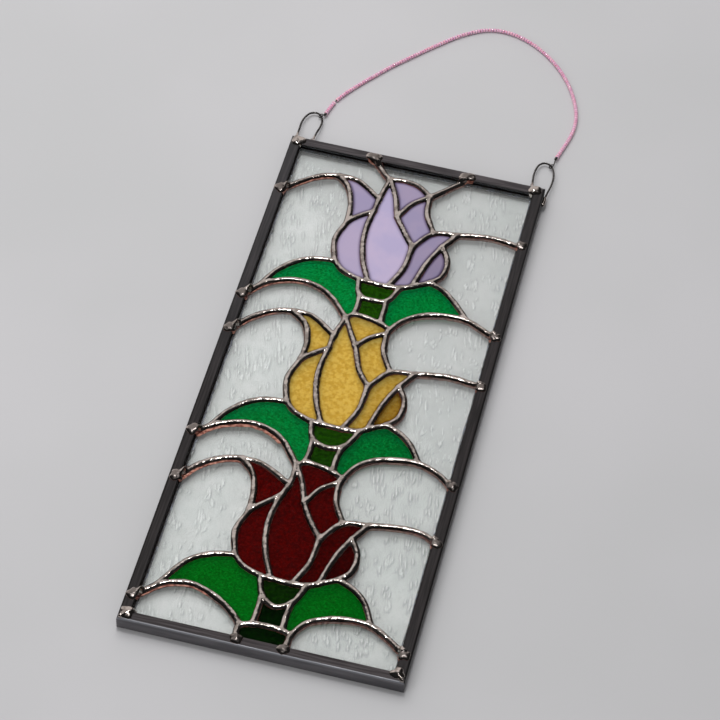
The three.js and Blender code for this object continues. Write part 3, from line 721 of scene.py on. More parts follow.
# %% The tulips' own measures
UPPER = 0
LOWER = 2
SEAM_INSET = 4.7
TULIPS = [
    dict(name="upper", petals="lilac", foot=258.5, stretch=1.0,
         arch_start=55.8, curl_end=49.4, left_leaf_start=-27.2, right_leaf_start=-20.2,
         arch_end=(60.7, 63.6), heart_waist=(59.9, 53.7), fork=(74.0, 53.0), fork_rise=65.0,
         calyx_top_right=(88.2, 1.1), calyx_right=(82.8, -10.8), calyx_depth=-12.2,
         left_leaf_tip=(11.0, -18.8), right_leaf_tip=(129.4, -12.0), tip_bulge=[(41.0, 68.0), (45.4, 56.0)]),
    dict(name="middle", petals="amber", foot=152.3, stretch=0.99,
         arch_start=53.2, curl_end=50.0, left_leaf_start=-24.4, right_leaf_start=-23.2,
         arch_end=(60.7, 63.6), heart_waist=(60.2, 54.0), fork=(74.0, 59.3), fork_rise=67.2,
         calyx_top_right=(91.0, 1.4), calyx_right=(84.8, -11.4), calyx_depth=-14.6,
         left_leaf_tip=(11.4, -17.2), right_leaf_tip=(126.6, -11.6), tip_bulge=[(43.2, 67.6), (47.4, 55.0)]),
    dict(name="lower", petals="red", foot=46.3, stretch=0.965,
         arch_start=53.0, curl_end=47.2, left_leaf_start=-29.2, right_leaf_start=-28.2,
         arch_end=(63.2, 64.4), heart_waist=(61.2, 57.0), fork=(74.0, 54.5), fork_rise=66.0,
         calyx_top_right=(88.8, 1.2), calyx_right=(84.0, -11.6), calyx_depth=-16.8,
         left_leaf_tip=(13.0, -20.4), right_leaf_tip=(127.0, -15.2), tip_bulge=[(42.0, 67.4), (46.0, 55.4)]),
]
print("tulips:", [(tulip["name"], tulip["petals"], tulip["foot"]) for tulip in TULIPS])


# %% Places in the drawing
def at(index, across, up):
    """A point of a tulip's own drawing, in the panel's millimetres."""
    tulip = TULIPS[index]
    return (LEFT + across, tulip["foot"] + tulip["stretch"] * up)


def points_at(index, *pairs):
    return [at(index, *pair) for pair in pairs]


def on_left_bar(y):
    return (LEFT + SEAM_INSET, y)


def on_right_bar(y):
    return (RIGHT - SEAM_INSET, y)


def on_top_bar(across):
    return (LEFT + across, PANEL_LENGTH - SEAM_INSET)


def on_bottom_bar(across):
    return (LEFT + across, SEAM_INSET)


print("the upper tulip stands at", at(UPPER, 0, 0), "and the lower at", at(LOWER, 0, 0))

# %% Lines between the tulips
FOOT_ARCH = [
    (LEFT + 61.0, 14.6), (LEFT + 67.8, 16.8), (LEFT + 75.6, 17.4), (LEFT + 83.6, 16.8), (LEFT + 88.4, 15.2)]


def peak(index):
    return at(index, 63.9, 78.2) if index != UPPER else at(index, 63.2, 80.6)


def crown_of(index):
    """The curved top edge of a tulip, from the heart's peak to the right petal."""
    if index == UPPER:
        return [peak(index), *points_at(index, (73.4, 81.4), (81.6, 79.0), (88.6, 73.2))]
    return [peak(index), *points_at(index, (67.4, 81.7), (75.6, 81.2), (83.3, 79.3), (89.6, 76.0))]


def ground(index):
    """What a tulip's leaves and stem stand on: the crown of the one below, or the arch at the foot."""
    return FOOT_ARCH if index == LOWER else crown_of(index + 1)


def left_leaf_edge(index):
    tulip = TULIPS[index]
    if index == LOWER:
        belly = [(20.2, -16.0), (30.8, -14.0), (43.0, -17.8), (54.4, -25.2)]
    else:
        belly = [(20.0, -12.4), (31.6, -9.0), (43.6, -10.8), (52.8, -16.6)]
    start = on_left_bar(at(index, 0, tulip["left_leaf_start"])[1])
    return [start, *points_at(index, tulip["left_leaf_tip"], *belly), ground(index)[0]]


def right_leaf_edge(index):
    tulip = TULIPS[index]
    tip = tulip["right_leaf_tip"]
    if index == LOWER:
        belly = [(138.0, -21.4), tip, (115.0, -14.6), (104.0, -17.0), (94.6, -22.4)]
    else:
        belly = [(139.0, -16.2), tip, (116.0, -12.2), (103.6, -15.8), (94.6, -23.0)]
    start = on_right_bar(at(index, 0, tulip["right_leaf_start"])[1])
    return [start, *points_at(index, *belly), ground(index)[-1]]


print("the left leaf edges have", [len(left_leaf_edge(index)) for index in range(len(TULIPS))], "points")


# %% Every seam of one tulip
def tulip_seams(index):
    tulip = TULIPS[index]
    here = lambda *pairs: points_at(index, *pairs)
    left_tip, waist, leaf_root = (34.1, 75.0), (47.2, 42.2), (47.4, 10.7)
    shoulder, heart_edge, curl_start, curl_fork = (88.6, 73.2), (87.6, 32.8), (97.0, 46.2), (110.7, 49.0)
    little_tip, little_foot, cup_end = (104.2, 37.6), (94.2, 3.9), (103.6, 9.4)
    calyx_top_left, heart_foot, curl_foot, calyx_left = (63.8, 0.9), (69.4, 0.4), (81.0, 0.1), (67.6, -10.8)
    if index == UPPER:
        to_peak = [on_top_bar(50.6), (LEFT + 55.4, 346.4), (LEFT + 60.2, 341.0), peak(index)]
        to_shoulder = [on_top_bar(106.4), (LEFT + 100.6, 344.4), (LEFT + 95.2, 338.6), at(index, *shoulder)]
    else:
        to_peak = left_leaf_edge(index - 1)
        to_shoulder = [*right_leaf_edge(index - 1), at(index, *shoulder)]
    leaf_back = [(36.0, 8.0), (24.8, 0.4)] if index == LOWER else [(35.4, 9.0), (26.0, 3.8), (17.6, -5.6)]
    return [
        here(left_tip, *tulip["tip_bulge"], waist),
        here(waist, (43.6, 26.5), leaf_root),
        here(leaf_root, (52.8, 5.2), calyx_top_left, heart_foot, curl_foot, tulip["calyx_top_right"],
             little_foot, cup_end),
        here(cup_end, (112.0, 5.6), (119.8, -1.2), tulip["right_leaf_tip"]),
        [on_left_bar(at(index, 0, tulip["arch_start"])[1]),
         *here((12.8, 64.2), (24.3, 72.4), left_tip, (45.0, 74.4), tulip["arch_end"])],
        to_peak,
        [peak(index), *here(tulip["arch_end"], tulip["heart_waist"], (58.8, 41.0), (59.8, 27.5), (63.4, 14.0),
                            heart_foot)],
        [peak(index), *here((69.4, 67.8), tulip["fork"], (80.4, 42.8), heart_edge)],
        crown_of(index),
        to_shoulder,
        here(shoulder, (90.2, 59.6), curl_start),
        here(tulip["fork"], (79.9, tulip["fork_rise"]), shoulder),
        here(waist, (53.0, 48.2), tulip["heart_waist"]),
        here(curl_foot, (86.4, 15.6), heart_edge),
        [*here(heart_edge, curl_start, curl_fork, (119.0, 50.8), (130.0, 52.2), (140.0, 51.2)),
         on_right_bar(at(index, 0, tulip["curl_end"])[1])],
        here(curl_fork, little_tip, (98.6, 23.6), little_foot),
        here(little_tip, (109.4, 27.4), (108.6, 15.6), cup_end),
        here(calyx_top_left, calyx_left, (75.8, tulip["calyx_depth"]), tulip["calyx_right"],
             tulip["calyx_top_right"]),
        [*here(calyx_left, (68.0, -19.5)), ground(index)[1]],
        [*here(tulip["calyx_right"], (83.2, -19.5)), ground(index)[-2]],
        here(leaf_root, *leaf_back, tulip["left_leaf_tip"]),
    ]


def foot_seams():
    left_foot = [*left_leaf_edge(LOWER), (LEFT + 60.8, 10.6), on_bottom_bar(62.4)]
    right_foot = [*right_leaf_edge(LOWER), (LEFT + 88.0, 10.6), on_bottom_bar(87.2)]
    return [left_foot, right_foot, FOOT_ARCH]


SEAM_STEP = 0.8
drawn_seams = [seam for index in range(len(TULIPS)) for seam in tulip_seams(index)] + foot_seams()
seam_lines = [smooth_line(seam, SEAM_STEP) for seam in drawn_seams]
print(f"{len(seam_lines)} seams, {sum(map(length_of, seam_lines)) / 1000:.2f} m in all")

# %% [markdown]
# ## A map of distances
#
# Where solder meets solder it flows into a fillet, which no sweep along a line can give. So the panel gets a
# fine grid instead, and each grid point its distance to the nearest seam. Solder is then everything nearer
# than half a bead's width, glass everything further than the foil, and both follow from one map. Distances to
# different seams are blended smoothly, which rounds the crotch of every junction as molten solder does.

# %% The grid and its distances
CELL = 0.4
BLEND = 0.4
REACH = 3.6
# Further than this, a seam has no part in the blend.
FAR_OFF = 40.0
ON_LINE = 0.01
grid_x = LEFT + CELL * np.arange(round(PANEL_WIDTH / CELL) + 1)
grid_y = CELL * np.arange(round(PANEL_LENGTH / CELL) + 1)
GRID_X, GRID_Y = np.meshgrid(grid_x, grid_y, indexing="ij")


def distance_map(line):
    """Each grid point's distance to one seam line, as far as the reach."""
    nearest = np.full(GRID_X.shape, np.inf)
    for a, b in zip(line[:-1], line[1:]):
        low = np.minimum(a, b) - REACH
        high = np.maximum(a, b) + REACH
        i0, i1 = np.searchsorted(grid_x, (low[0], high[0]))
        j0, j1 = np.searchsorted(grid_y, (low[1], high[1]))
        if i0 >= i1 or j0 >= j1:
            continue
        x = GRID_X[i0:i1, j0:j1] - a[0]
        y = GRID_Y[i0:i1, j0:j1] - a[1]
        run = b - a
        part = np.clip((x * run[0] + y * run[1]) / (run @ run), 0, 1)
        distance = np.hypot(x - part * run[0], y - part * run[1])
        view = nearest[i0:i1, j0:j1]
        np.minimum(view, distance, out=view)
    return nearest


def blended_map(lines):
    """The distance to all seams, smoothly blended where two come close."""
    total = np.zeros(GRID_X.shape)
    for line in lines:
        total += np.exp(-np.minimum(distance_map(line), FAR_OFF) / BLEND)
    return np.minimum(-BLEND * np.log(total + 1e-30), REACH)


def run_out(line):
    """The line with its ends on the frame drawn on to the panel's edge, so that it cuts right through."""
    points = list(line)
    for end in (0, -1):
        x, y = points[end]
        if abs(abs(x) - (RIGHT - SEAM_INSET)) < ON_LINE:
            outer = np.array((math.copysign(RIGHT, x), y))
        elif abs(y - SEAM_INSET) < ON_LINE:
            outer = np.array((x, 0.0))
        elif abs(y - (PANEL_LENGTH - SEAM_INSET)) < ON_LINE:
            outer = np.array((x, PANEL_LENGTH))
        else:
            continue
        points = [outer, *points] if end == 0 else [*points, outer]
    return np.array(points)


seam_distance = blended_map(seam_lines)
cut_distance = np.minimum.reduce([distance_map(run_out(line)) for line in seam_lines])
edge_distance = np.minimum.reduce([GRID_X - LEFT, RIGHT - GRID_X, GRID_Y, PANEL_LENGTH - GRID_Y])
print("grid of", GRID_X.shape, "points")

# %% Soft noise on the grid
def soft_noise(size, seed):
    """A smooth random field on the grid, from -1 to 1, with lumps of about the given size (mm)."""
    rng = np.random.default_rng(seed)
    columns = int(PANEL_WIDTH / size) + 3
    rows = int(PANEL_LENGTH / size) + 3
    values = rng.uniform(-1, 1, (columns, rows))
    x = (GRID_X - LEFT) / size
    y = GRID_Y / size
    i, j = x.astype(int), y.astype(int)
    u, v = x - i, y - j
    u, v = u * u * (3 - 2 * u), v * v * (3 - 2 * v)
    low = values[i, j] * (1 - u) + values[i + 1, j] * u
    high = values[i, j + 1] * (1 - u) + values[i + 1, j + 1] * u
    return low * (1 - v) + high * v


def smooth_step(value, start, end):
    part = np.clip((value - start) / (end - start), 0, 1)
    return part * part * (3 - 2 * part)


print("soft noise spans", [round(float(extreme(soft_noise(3.0, 1))), 2) for extreme in (np.min, np.max)])


# %% [markdown]
# ## From a map to a mesh
#
# A field that is positive inside a shape becomes a mesh cell by cell: a cell with all its corners inside is a
# square, and one on the border is cut where the field crosses zero. This is the marching squares method. The
# flat mesh then gets a top height and a bottom height, and walls between them, which closes it.

# %% Marching squares
def cut_cells(field):
    """The cells of the grid where the field is positive, the border ones cut to shape. It returns the faces,
    one array for each kind of cell, and each face's first inside grid point as a flat index."""
    columns, rows = field.shape
    inside = field > 0
    corner_id = np.arange(field.size).reshape(field.shape)
    steps = [(0, 0), (1, 0), (1, 1), (0, 1)]
    corners = [inside[i:columns - 1 + i, j:rows - 1 + j] for i, j in steps]
    corner_ids = [corner_id[i:columns - 1 + i, j:rows - 1 + j] for i, j in steps]
    level = field.size
    edge_ids = [
        level + corner_ids[0], 2 * level + corner_ids[1], level + corner_ids[3], 2 * level + corner_ids[0]]
    case = sum(inside_corner.astype(int) << k for k, inside_corner in enumerate(corners))
    faces, owners = [], []
    for number in range(1, 16):
        chosen = case == number
        if not chosen.any():
            continue
        bits = [(number >> k) & 1 for k in range(4)]
        if number in (5, 10):
            shapes = [[("edge", (k + 3) % 4), ("corner", k), ("edge", k)] for k in range(4) if bits[k]]
        else:
            shape = []
            for k in range(4):
                if bits[k]:
                    shape.append(("corner", k))
                if bits[k] != bits[(k + 1) % 4]:
                    shape.append(("edge", k))
            shapes = [shape]
        for shape in shapes:
            ids = [(corner_ids if kind == "corner" else edge_ids)[k][chosen] for kind, k in shape]
            faces.append(np.stack(ids, axis=1))
            first = next(k for kind, k in shape if kind == "corner")
            owners.append(corner_ids[first][chosen])
    return faces, owners


def flat_points(field, ids):
    """Where the vertices with these ids lie, as fractional grid indices."""
    rows = field.shape[1]
    level = ids // field.size
    i, j = np.divmod(ids % field.size, rows)
    values = field.ravel()
    here = values[ids % field.size]
    next_i = np.where(level == 1, i + 1, i)
    next_j = np.where(level == 2, j + 1, j)
    there = values[next_i * rows % field.size + next_j % rows]
    part = np.where(level > 0, here / np.where(here == there, 1, here - there), 0)
    return i + np.where(level == 1, part, 0), j + np.where(level == 2, part, 0)


print("a grid of 3 by 3 points gives", sum(map(len, cut_cells(np.ones((3, 3)))[0])), "cells")


# %% Meshes from arrays
def sampled(values, i, j):
    """A grid of values read at fractional indices, linear between the grid's points."""
    i0 = np.minimum(i.astype(int), values.shape[0] - 2)
    j0 = np.minimum(j.astype(int), values.shape[1] - 2)
    u, v = i - i0, j - j0
    low = values[i0, j0] * (1 - u) + values[i0 + 1, j0] * u
    high = values[i0, j0 + 1] * (1 - u) + values[i0 + 1, j0 + 1] * u
    return low * (1 - v) + high * v


def border_edges(faces):
    """The directed edges that only one face has."""
    starts = np.concatenate([face.T.ravel() for face in faces])
    ends = np.concatenate([np.roll(face, -1, axis=1).T.ravel() for face in faces])
    size = max(starts.max(), ends.max()) + 1
    alone = ~np.isin(starts * size + ends, ends * size + starts)
    return starts[alone], ends[alone]


def mesh_from_arrays(name, vertices, faces, materials, face_materials=None):
    """A mesh from a vertex array and a list of face arrays, one array for each number of corners."""
    mesh = bpy.data.meshes.new(name)
    loops = np.concatenate([face.ravel() for face in faces])
    sizes = np.concatenate([np.full(len(face), face.shape[1]) for face in faces])
    mesh.vertices.add(len(vertices))
    mesh.vertices.foreach_set("co", placed(vertices).ravel())
    mesh.loops.add(len(loops))
    mesh.loops.foreach_set("vertex_index", loops)
    mesh.polygons.add(len(sizes))
    mesh.polygons.foreach_set("loop_start", np.concatenate([[0], np.cumsum(sizes)[:-1]]))
    mesh.polygons.foreach_set("use_smooth", np.ones(len(sizes), bool))
    for material in materials:
        mesh.materials.append(material)
    if face_materials is not None:
        mesh.polygons.foreach_set("material_index", face_materials)
    mesh.update(calc_edges=True)
    mesh.validate()
    return mesh


def add_mesh(name, mesh, replaced):
    piece = bpy.data.objects.new(name, mesh)
    bpy.context.scene.collection.objects.link(piece)
    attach(piece, "root")
    if replaced:
        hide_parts(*replaced)
    return piece


open_edges = border_edges([np.array([(0, 1, 2), (0, 2, 3)])])
print("two triangles have", len(open_edges[0]), "border edges")

# %% [markdown]
# ## The solder
#
# Solder on foil stands up as a rounded bead, a little over a millimetre high and about as wide as the foil's
# two edges. It was drawn along by hand, so its width and height wander, and it is lumpy where the iron
# paused. On the frame the ends of the seams are tacked down with a blob. The front is finished best, and the
# back is flatter. The flat sides, against the glass, show the copper foil, and so does a strip between the
# panes. Along a few arcs the foil reaches further than the solder, and under the frame's lip the panel's own
# foil looks out as a dark line.

# %% Levels of the panel
GLASS_BOTTOM = 2.75
GLASS_TOP = 5.75
FRAME_TOP = 8.5
FRAME_FACE = 6.0
HIGHEST = 10.2
HALF_WIDTH = 1.82
SEAM_RISE = 1.3
BACK_RISE = 0.9
BLOB_RISE = 1.25
CORNER_RISE = 1.45
# A gap that keeps two surfaces from lying in one plane.
SKIN = 0.01
print(f"glass from {GLASS_BOTTOM} to {GLASS_TOP} mm, seams to {GLASS_TOP + SEAM_RISE:.2f} mm")

# %% The blobs on the frame
LEFT_BLOBS = [(313.0, 3.9), (229.4, 3.8), (203.4, 3.6), (129.0, 4.0), (96.5, 3.7), (17.0, 3.8)]
RIGHT_BLOBS = [(307.6, 3.4), (236.5, 3.2), (199.6, 3.4), (128.7, 3.3), (90.0, 3.5), (17.0, 3.3)]
TOP_BLOBS = [(50.5, 5.2), (106.5, 5.0)]
BOTTOM_BLOBS = [(62.4, 3.6), (87.4, 3.6)]
CORNER_BLOBS = [
    (LEFT + 4.5, 352.2, 4.3), (RIGHT - 5.3, 352.2, 4.0), (LEFT + 4.2, 5.0, 4.0), (RIGHT - 5.0, 5.6, 3.8)]


def blob_level(x, y, across, along, seed):
    """How deep inside a blob each grid point is: 1 in its middle, 0 on its edge. Its outline is uneven."""
    rng = np.random.default_rng(seed)
    dx = (GRID_X - x) / across
    dy = (GRID_Y - y) / along
    turn = np.arctan2(dy, dx)
    wave = sum(rng.uniform(-0.09, 0.09) * np.cos(k * turn + rng.uniform(0, 6)) for k in (2, 3, 4, 5))
    return 1 - np.hypot(dx, dy) / (1 + wave)


frame_blobs = [(LEFT + 3.9, y, 3.5, size) for y, size in LEFT_BLOBS]
frame_blobs += [(RIGHT - 4.2, y, 3.3, size) for y, size in RIGHT_BLOBS]
frame_blobs += [(LEFT + across, PANEL_LENGTH - 3.7, size, 3.3) for across, size in TOP_BLOBS]
frame_blobs += [(LEFT + across, 4.3, size, 3.4) for across, size in BOTTOM_BLOBS]
blob_levels = np.maximum.reduce([
    blob_level(x, y, across, along, seed) for seed, (x, y, across, along) in enumerate(frame_blobs)])
print(len(frame_blobs), "blobs on the frame and", len(CORNER_BLOBS), "in its corners")

# %% The shape of the solder's front
# The solder climbs from the glass to the frame's face between these two distances from the panel's edge.
RAMP_START = -8.4
RAMP_END = -6.2


def dome(level):
    """A bead's height over its width: 0 on the edge, 1 in the middle."""
    return np.clip(1 - (1 - np.clip(level, 0, 1)) ** 2, 0, 1) ** 0.65


def front_heights(level, rise):
    base = GLASS_TOP + (FRAME_TOP - GLASS_TOP) * smooth_step(-edge_distance, RAMP_START, RAMP_END)
    lumps = 0.05 * soft_noise(1.5, 20) + 0.05 * soft_noise(2.6, 21) + 0.08 * soft_noise(5.1, 22)
    lumps += 0.16 * blob_part * soft_noise(1.9, 24)
    top = base + rise * dome(level) * (1 + lumps)
    return np.minimum(top, HIGHEST - 2 * SKIN)


half_width = HALF_WIDTH * (1 + 0.1 * soft_noise(9.0, 11) + 0.07 * soft_noise(3.1, 12))
seam_level = 1 - seam_distance / half_width
solder_level = np.maximum(seam_level, blob_levels)
blob_part = smooth_step(blob_levels, 0.0, 0.5)
front_top = front_heights(solder_level, SEAM_RISE + (BLOB_RISE - SEAM_RISE) * blob_part)
front_bottom = np.where(edge_distance < FRAME_FACE + 0.1, FRAME_TOP - 0.06, GLASS_TOP + 2 * SKIN)
print("solder covers", round(100 * float((solder_level > 0).mean()), 1), "% of the panel")


# %% A closed shell from two height maps
def shell(field, top, bottom, step=1, bottom_row=0):
    """Vertices and face arrays of the closed body between two height maps, where the field is positive. It
    also gives the number of faces on top, and each vertex's value of the field."""
    coarse = field[::step, ::step]
    faces = cut_cells(coarse)[0]
    used, packed = np.unique(np.concatenate([face.ravel() for face in faces]), return_inverse=True)
    cuts = np.cumsum([face.size for face in faces])[:-1]
    faces = [part.reshape(face.shape) for part, face in zip(np.split(packed.ravel(), cuts), faces)]
    i, j = flat_points(coarse, used)
    i, j = i * step, j * step
    x, y = LEFT + CELL * i, CELL * (j + bottom_row)
    value = sampled(field, i, j)
    upper = np.stack([x, y, sampled(top, i, j)], axis=1)
    lower = np.stack([x, y, sampled(bottom, i, j)], axis=1)
    count = len(used)
    starts, ends = border_edges(faces)
    walls = np.stack([ends, starts, starts + count, ends + count], axis=1)
    under = [face[:, ::-1] + count for face in faces]
    return np.vstack([upper, lower]), [*faces, walls, *under], sum(map(len, faces)), np.tile(value, 2)


# %% The front of the solder
RIM_LEVELS = (0.08, 0.24)
SHARP_ANGLE = math.radians(60)


def finish_attributes(mesh, vertices, values):
    """Two numbers for each vertex: "rim" is 1 on a bead's edge, beside the glass, "satin" 1 on a blob."""
    i, j = (vertices[:, 0] - LEFT) / CELL, vertices[:, 1] / CELL
    on_glass = smooth_step(sampled(edge_distance, i, j), FRAME_FACE - 0.4, FRAME_FACE + 0.4)
    # The rim carries the crease's patina and painted shade, and the edge of the bare foil.
    rim = (1 - smooth_step(values, *RIM_LEVELS)) * on_glass
    for name, numbers in (("rim", rim), ("satin", sampled(blob_part, i, j))):
        attribute = mesh.attributes.new(name, "FLOAT", "POINT")
        attribute.data.foreach_set("value", numbers)


BANDS = [("lower", 0, 118), ("middle", 118, 236), ("upper", 236, 356)]


def solder_front(band, low, high):
    """The front beads between two heights of the panel. Three bands keep each mesh to a handy size."""
    rows = slice(round(low / CELL), round(high / CELL) + 1)
    vertices, faces, top_count, values = shell(
        solder_level[:, rows], front_top[:, rows], front_bottom[:, rows], bottom_row=rows.start)
    total = sum(map(len, faces))
    name = f"solder_front_{band}"
    mesh = mesh_from_arrays(name, vertices, faces, [SOLDER, FOIL], np.arange(total) >= top_count)
    finish_attributes(mesh, vertices, values)
    mesh.set_sharp_from_angle(angle=SHARP_ANGLE)
    return add_mesh(name, mesh, ["solder_net"])


fronts = [solder_front(*band) for band in BANDS]
print("front solder faces:", [len(front.data.polygons) for front in fronts])

# %% [markdown]
# ## Foil that the solder left bare
#
# Copper foil comes as a sticky tape a few millimetres wide. It is folded over the edge of each pane, and
# solder only runs where it was heated and fluxed. Along a few arcs the tape reached further on to the glass
# and stayed bare, as a crumpled pinkish strip beside the bead. It is made like the beads, from a map:
# everything near a line beside the seam, with a rough edge.
#
# The panes at the border have tape along the panel's edge as well. The frame's lip hides most of it. What
# looks out is a dark line on the front, and a broader one on the back, where its width is a guess.

# %% Bare foil beside the beads
# The arch over the left petals is number 4 in a tulip's list of seams.
ARCH = 4
FOIL_INSET = 0.75
FOIL_RISE = 0.2
# Each run has its line, the parts of the line where it starts and ends, and how far the foil reaches.
FOIL_RUNS = [
    (left_leaf_edge(1), 0.02, 0.74, 1.5), (left_leaf_edge(LOWER), 0.05, 0.62, 0.8),
    (left_leaf_edge(UPPER), 0.05, 0.5, 0.6), (tulip_seams(LOWER)[ARCH], 0.0, 0.52, 1.2),
    (tulip_seams(UPPER)[ARCH], 0.1, 0.5, 0.6), (tulip_seams(1)[ARCH], 0.1, 0.4, 0.5),
]


def bare_foil():
    """Along a few arcs the foil reaches further on to the glass than the solder: a rough copper strip."""
    level = np.full(GRID_X.shape, -1.0)
    for drawn, start, end, width in FOIL_RUNS:
        line = smooth_line(drawn, SEAM_STEP)
        line = line[round(start * len(line)):round(end * len(line))]
        ahead = np.gradient(line, axis=0)
        ahead /= np.linalg.norm(ahead, axis=1)[:, None]
        below = line + np.stack([ahead[:, 1], -ahead[:, 0]], axis=1) * (HALF_WIDTH - FOIL_INSET)
        reach = FOIL_INSET + width * (1 + 0.25 * soft_noise(2.0, 61))
        level = np.maximum(level, 1 - distance_map(below) / reach)
    level = np.where(edge_distance > FRAME_FACE + 0.2, level, -1)
    top = GLASS_TOP + FOIL_RISE + 0.08 * soft_noise(0.9, 62) + 0.08 * soft_noise(1.6, 63)
    bottom = np.full(top.shape, GLASS_TOP + SKIN)
    vertices, faces = shell(level, top, bottom)[:2]
    mesh = mesh_from_arrays("bare_foil", vertices, faces, [FOIL])
    mesh.set_sharp_from_angle(angle=math.radians(70))
    return add_mesh("bare_foil", mesh, [])


foil = bare_foil()
print("bare foil faces:", len(foil.data.polygons))

# %% Foil along the frame
BORDER_FOIL_FRONT = 0.6
BORDER_FOIL_BACK = 1.3
UNDER_LIP = 0.8


def border_foil(name, reach, bottom, top, material, seed):
    """The foil round the panel's own edge. It looks out from under the frame's lip as a line on the glass."""
    outer = edge_distance - (FRAME_FACE - UNDER_LIP)
    inner = FRAME_FACE + reach * (1 + 0.12 * soft_noise(5.0, seed)) - edge_distance
    flat = np.ones(GRID_X.shape)
    vertices, faces = shell(np.minimum(outer, inner), top * flat, bottom * flat, step=2)[:2]
    mesh = mesh_from_arrays(name, vertices, faces, [material])
    mesh.set_sharp_from_angle(angle=math.radians(50))
    return add_mesh(name, mesh, [])


border_front = border_foil(
    "border_foil_front", BORDER_FOIL_FRONT, GLASS_TOP + SKIN, GLASS_TOP + 0.26, BLACK_FOIL, 71)
border_back = border_foil(
    "border_foil_back", BORDER_FOIL_BACK, GLASS_BOTTOM - 0.1, GLASS_BOTTOM - SKIN, FOIL_BACK, 72)
print("border foil faces:", len(border_front.data.polygons), "and", len(border_back.data.polygons))

# %% [markdown]
# ## The back and the middle of the seams
#
# The photo doesn't show the back. It is usually finished with less care, so its beads are flatter here. They
# come from the same map, upside down and on a coarser grid. Between the panes the folded tapes meet and close
# the seam from the back bead to the front bead. Through the clear glass they show as an upright strip of
# copper.

# %% The back of the solder, and the foil between the panes
CORE_WIDTH = 0.9


def solder_back():
    """The flatter bead on the back. It needs only half the grid."""
    level = GLASS_BOTTOM - 2 * SKIN
    dip = level - BACK_RISE * dome(seam_level) * (1 + 0.15 * soft_noise(3.0, 31))
    top = np.full(dip.shape, level)
    inner = np.where(edge_distance > FRAME_FACE - 0.6, seam_level, -1)
    vertices, faces, top_count, values = shell(inner, top, dip, step=2)
    total = sum(map(len, faces))
    mesh = mesh_from_arrays("solder_back", vertices, faces, [SOLDER, FOIL], np.arange(total) < top_count)
    finish_attributes(mesh, vertices, values)
    mesh.set_sharp_from_angle(angle=SHARP_ANGLE)
    return add_mesh("solder_back", mesh, ["solder_net"])


def foil_strip(line):
    """The copper between two panes: a thin upright strip along a seam, from back bead to front bead."""
    ahead = np.gradient(line, axis=0)
    ahead /= np.linalg.norm(ahead, axis=1)[:, None]
    aside = np.stack([-ahead[:, 1], ahead[:, 0]], axis=1) * CORE_WIDTH / 2
    low, high = GLASS_BOTTOM - SKIN, GLASS_TOP + SKIN
    corners = [(line - aside, low), (line + aside, low), (line + aside, high), (line - aside, high)]
    vertices = np.concatenate([np.column_stack([points, np.full(len(points), z)]) for points, z in corners])
    count = len(line)
    faces = [(0, count, 2 * count, 3 * count)]
    for side in range(4):
        here, there = side * count, (side + 1) % 4 * count
        faces += [(here + i, here + i + 1, there + i + 1, there + i) for i in range(count - 1)]
    faces.append((count - 1, 4 * count - 1, 3 * count - 1, 2 * count - 1))
    return vertices, faces


back = solder_back()
strips = joined_shapes([foil_strip(smooth_line(seam, 2 * SEAM_STEP)) for seam in drawn_seams])
core = add_piece("foil_between_panes", *strips, FOIL, "solder", ["solder_net"])
print("back solder faces:", len(back.data.polygons), "foil faces:", len(core.data.polygons))

# %% [markdown]
# ## The corners' solder
#
# The four bars meet at a mitre and are soldered there on the face, where the solder spread into a broad lump.
# At the bottom corners a short seam runs on along the mitre. It is the same kind of map as the beads: blobs
# and two short lines, with a dome over them.

# %% The corners' lumps
MITRE_HALF_WIDTH = 1.3
MITRES = [((LEFT + 1.5, 1.5), (LEFT + 7.6, 7.6)), ((RIGHT - 1.5, 1.5), (RIGHT - 6.4, 6.4))]
CORNER_RAMP_START = -8.0


def corner_solder():
    """The frame's mitred corners are soldered too: a flat lump in each, and a short seam along the mitre."""
    level = np.maximum.reduce([
        blob_level(x, y, size, size, 40 + k) for k, (x, y, size) in enumerate(CORNER_BLOBS)])
    to_mitre = np.minimum.reduce([distance_map(np.array(line)) for line in MITRES])
    level = np.maximum(level, 1 - to_mitre / MITRE_HALF_WIDTH)
    level = np.where(edge_distance > 0.5, level, -1)
    ramp = smooth_step(-edge_distance, CORNER_RAMP_START, RAMP_END)
    base = GLASS_TOP + (FRAME_TOP - GLASS_TOP) * ramp
    lumps = 1 + 0.16 * soft_noise(2.6, 23)
    top = np.minimum(base + CORNER_RISE * dome(level) * lumps, HIGHEST - 2 * SKIN)
    vertices, faces = shell(level, top, front_bottom)[:2]
    mesh = mesh_from_arrays("corner_solder", vertices, faces, [SOLDER])
    finish_attributes(mesh, vertices, np.ones(len(vertices)))
    mesh.set_sharp_from_angle(angle=SHARP_ANGLE)
    return add_mesh("corner_solder", mesh, [])


corners = corner_solder()
print("corner solder faces:", len(corners.data.polygons))

# %% [markdown]
# ## The loops' solder
#
# Each leg of a loop ends in a tapered drop of solder against the top bar, where the iron drew it up the wire.
# The drop is a surface of revolution round the wire, swollen at the bar, with a little unevenness.

# %% Drops of solder on the loops' legs
LEG_DROP_RADIUS = 2.05
LEG_DROP_LENGTH = 6.0
LEG_DROP_STOPS = np.array((0.0, 0.25, 0.7, 1.3, 2.0, 2.8, 3.7, 4.7, 5.6, LEG_DROP_LENGTH))
LEG_DROP_SIDES = 16
SIDE_LUMP = [
    (76.6, 344.6, 4.3), (76.8, 345.4, 4.3), (76.9, 346.8, 4.3), (77.0, 348.4, 4.3), (76.9, 350.0, 4.4),
    (76.8, 351.4, 4.4), (76.6, 352.2, 4.4)]
SIDE_LUMP_RADII = [0.35, 0.85, 1.1, 1.15, 1.05, 0.8, 0.35]


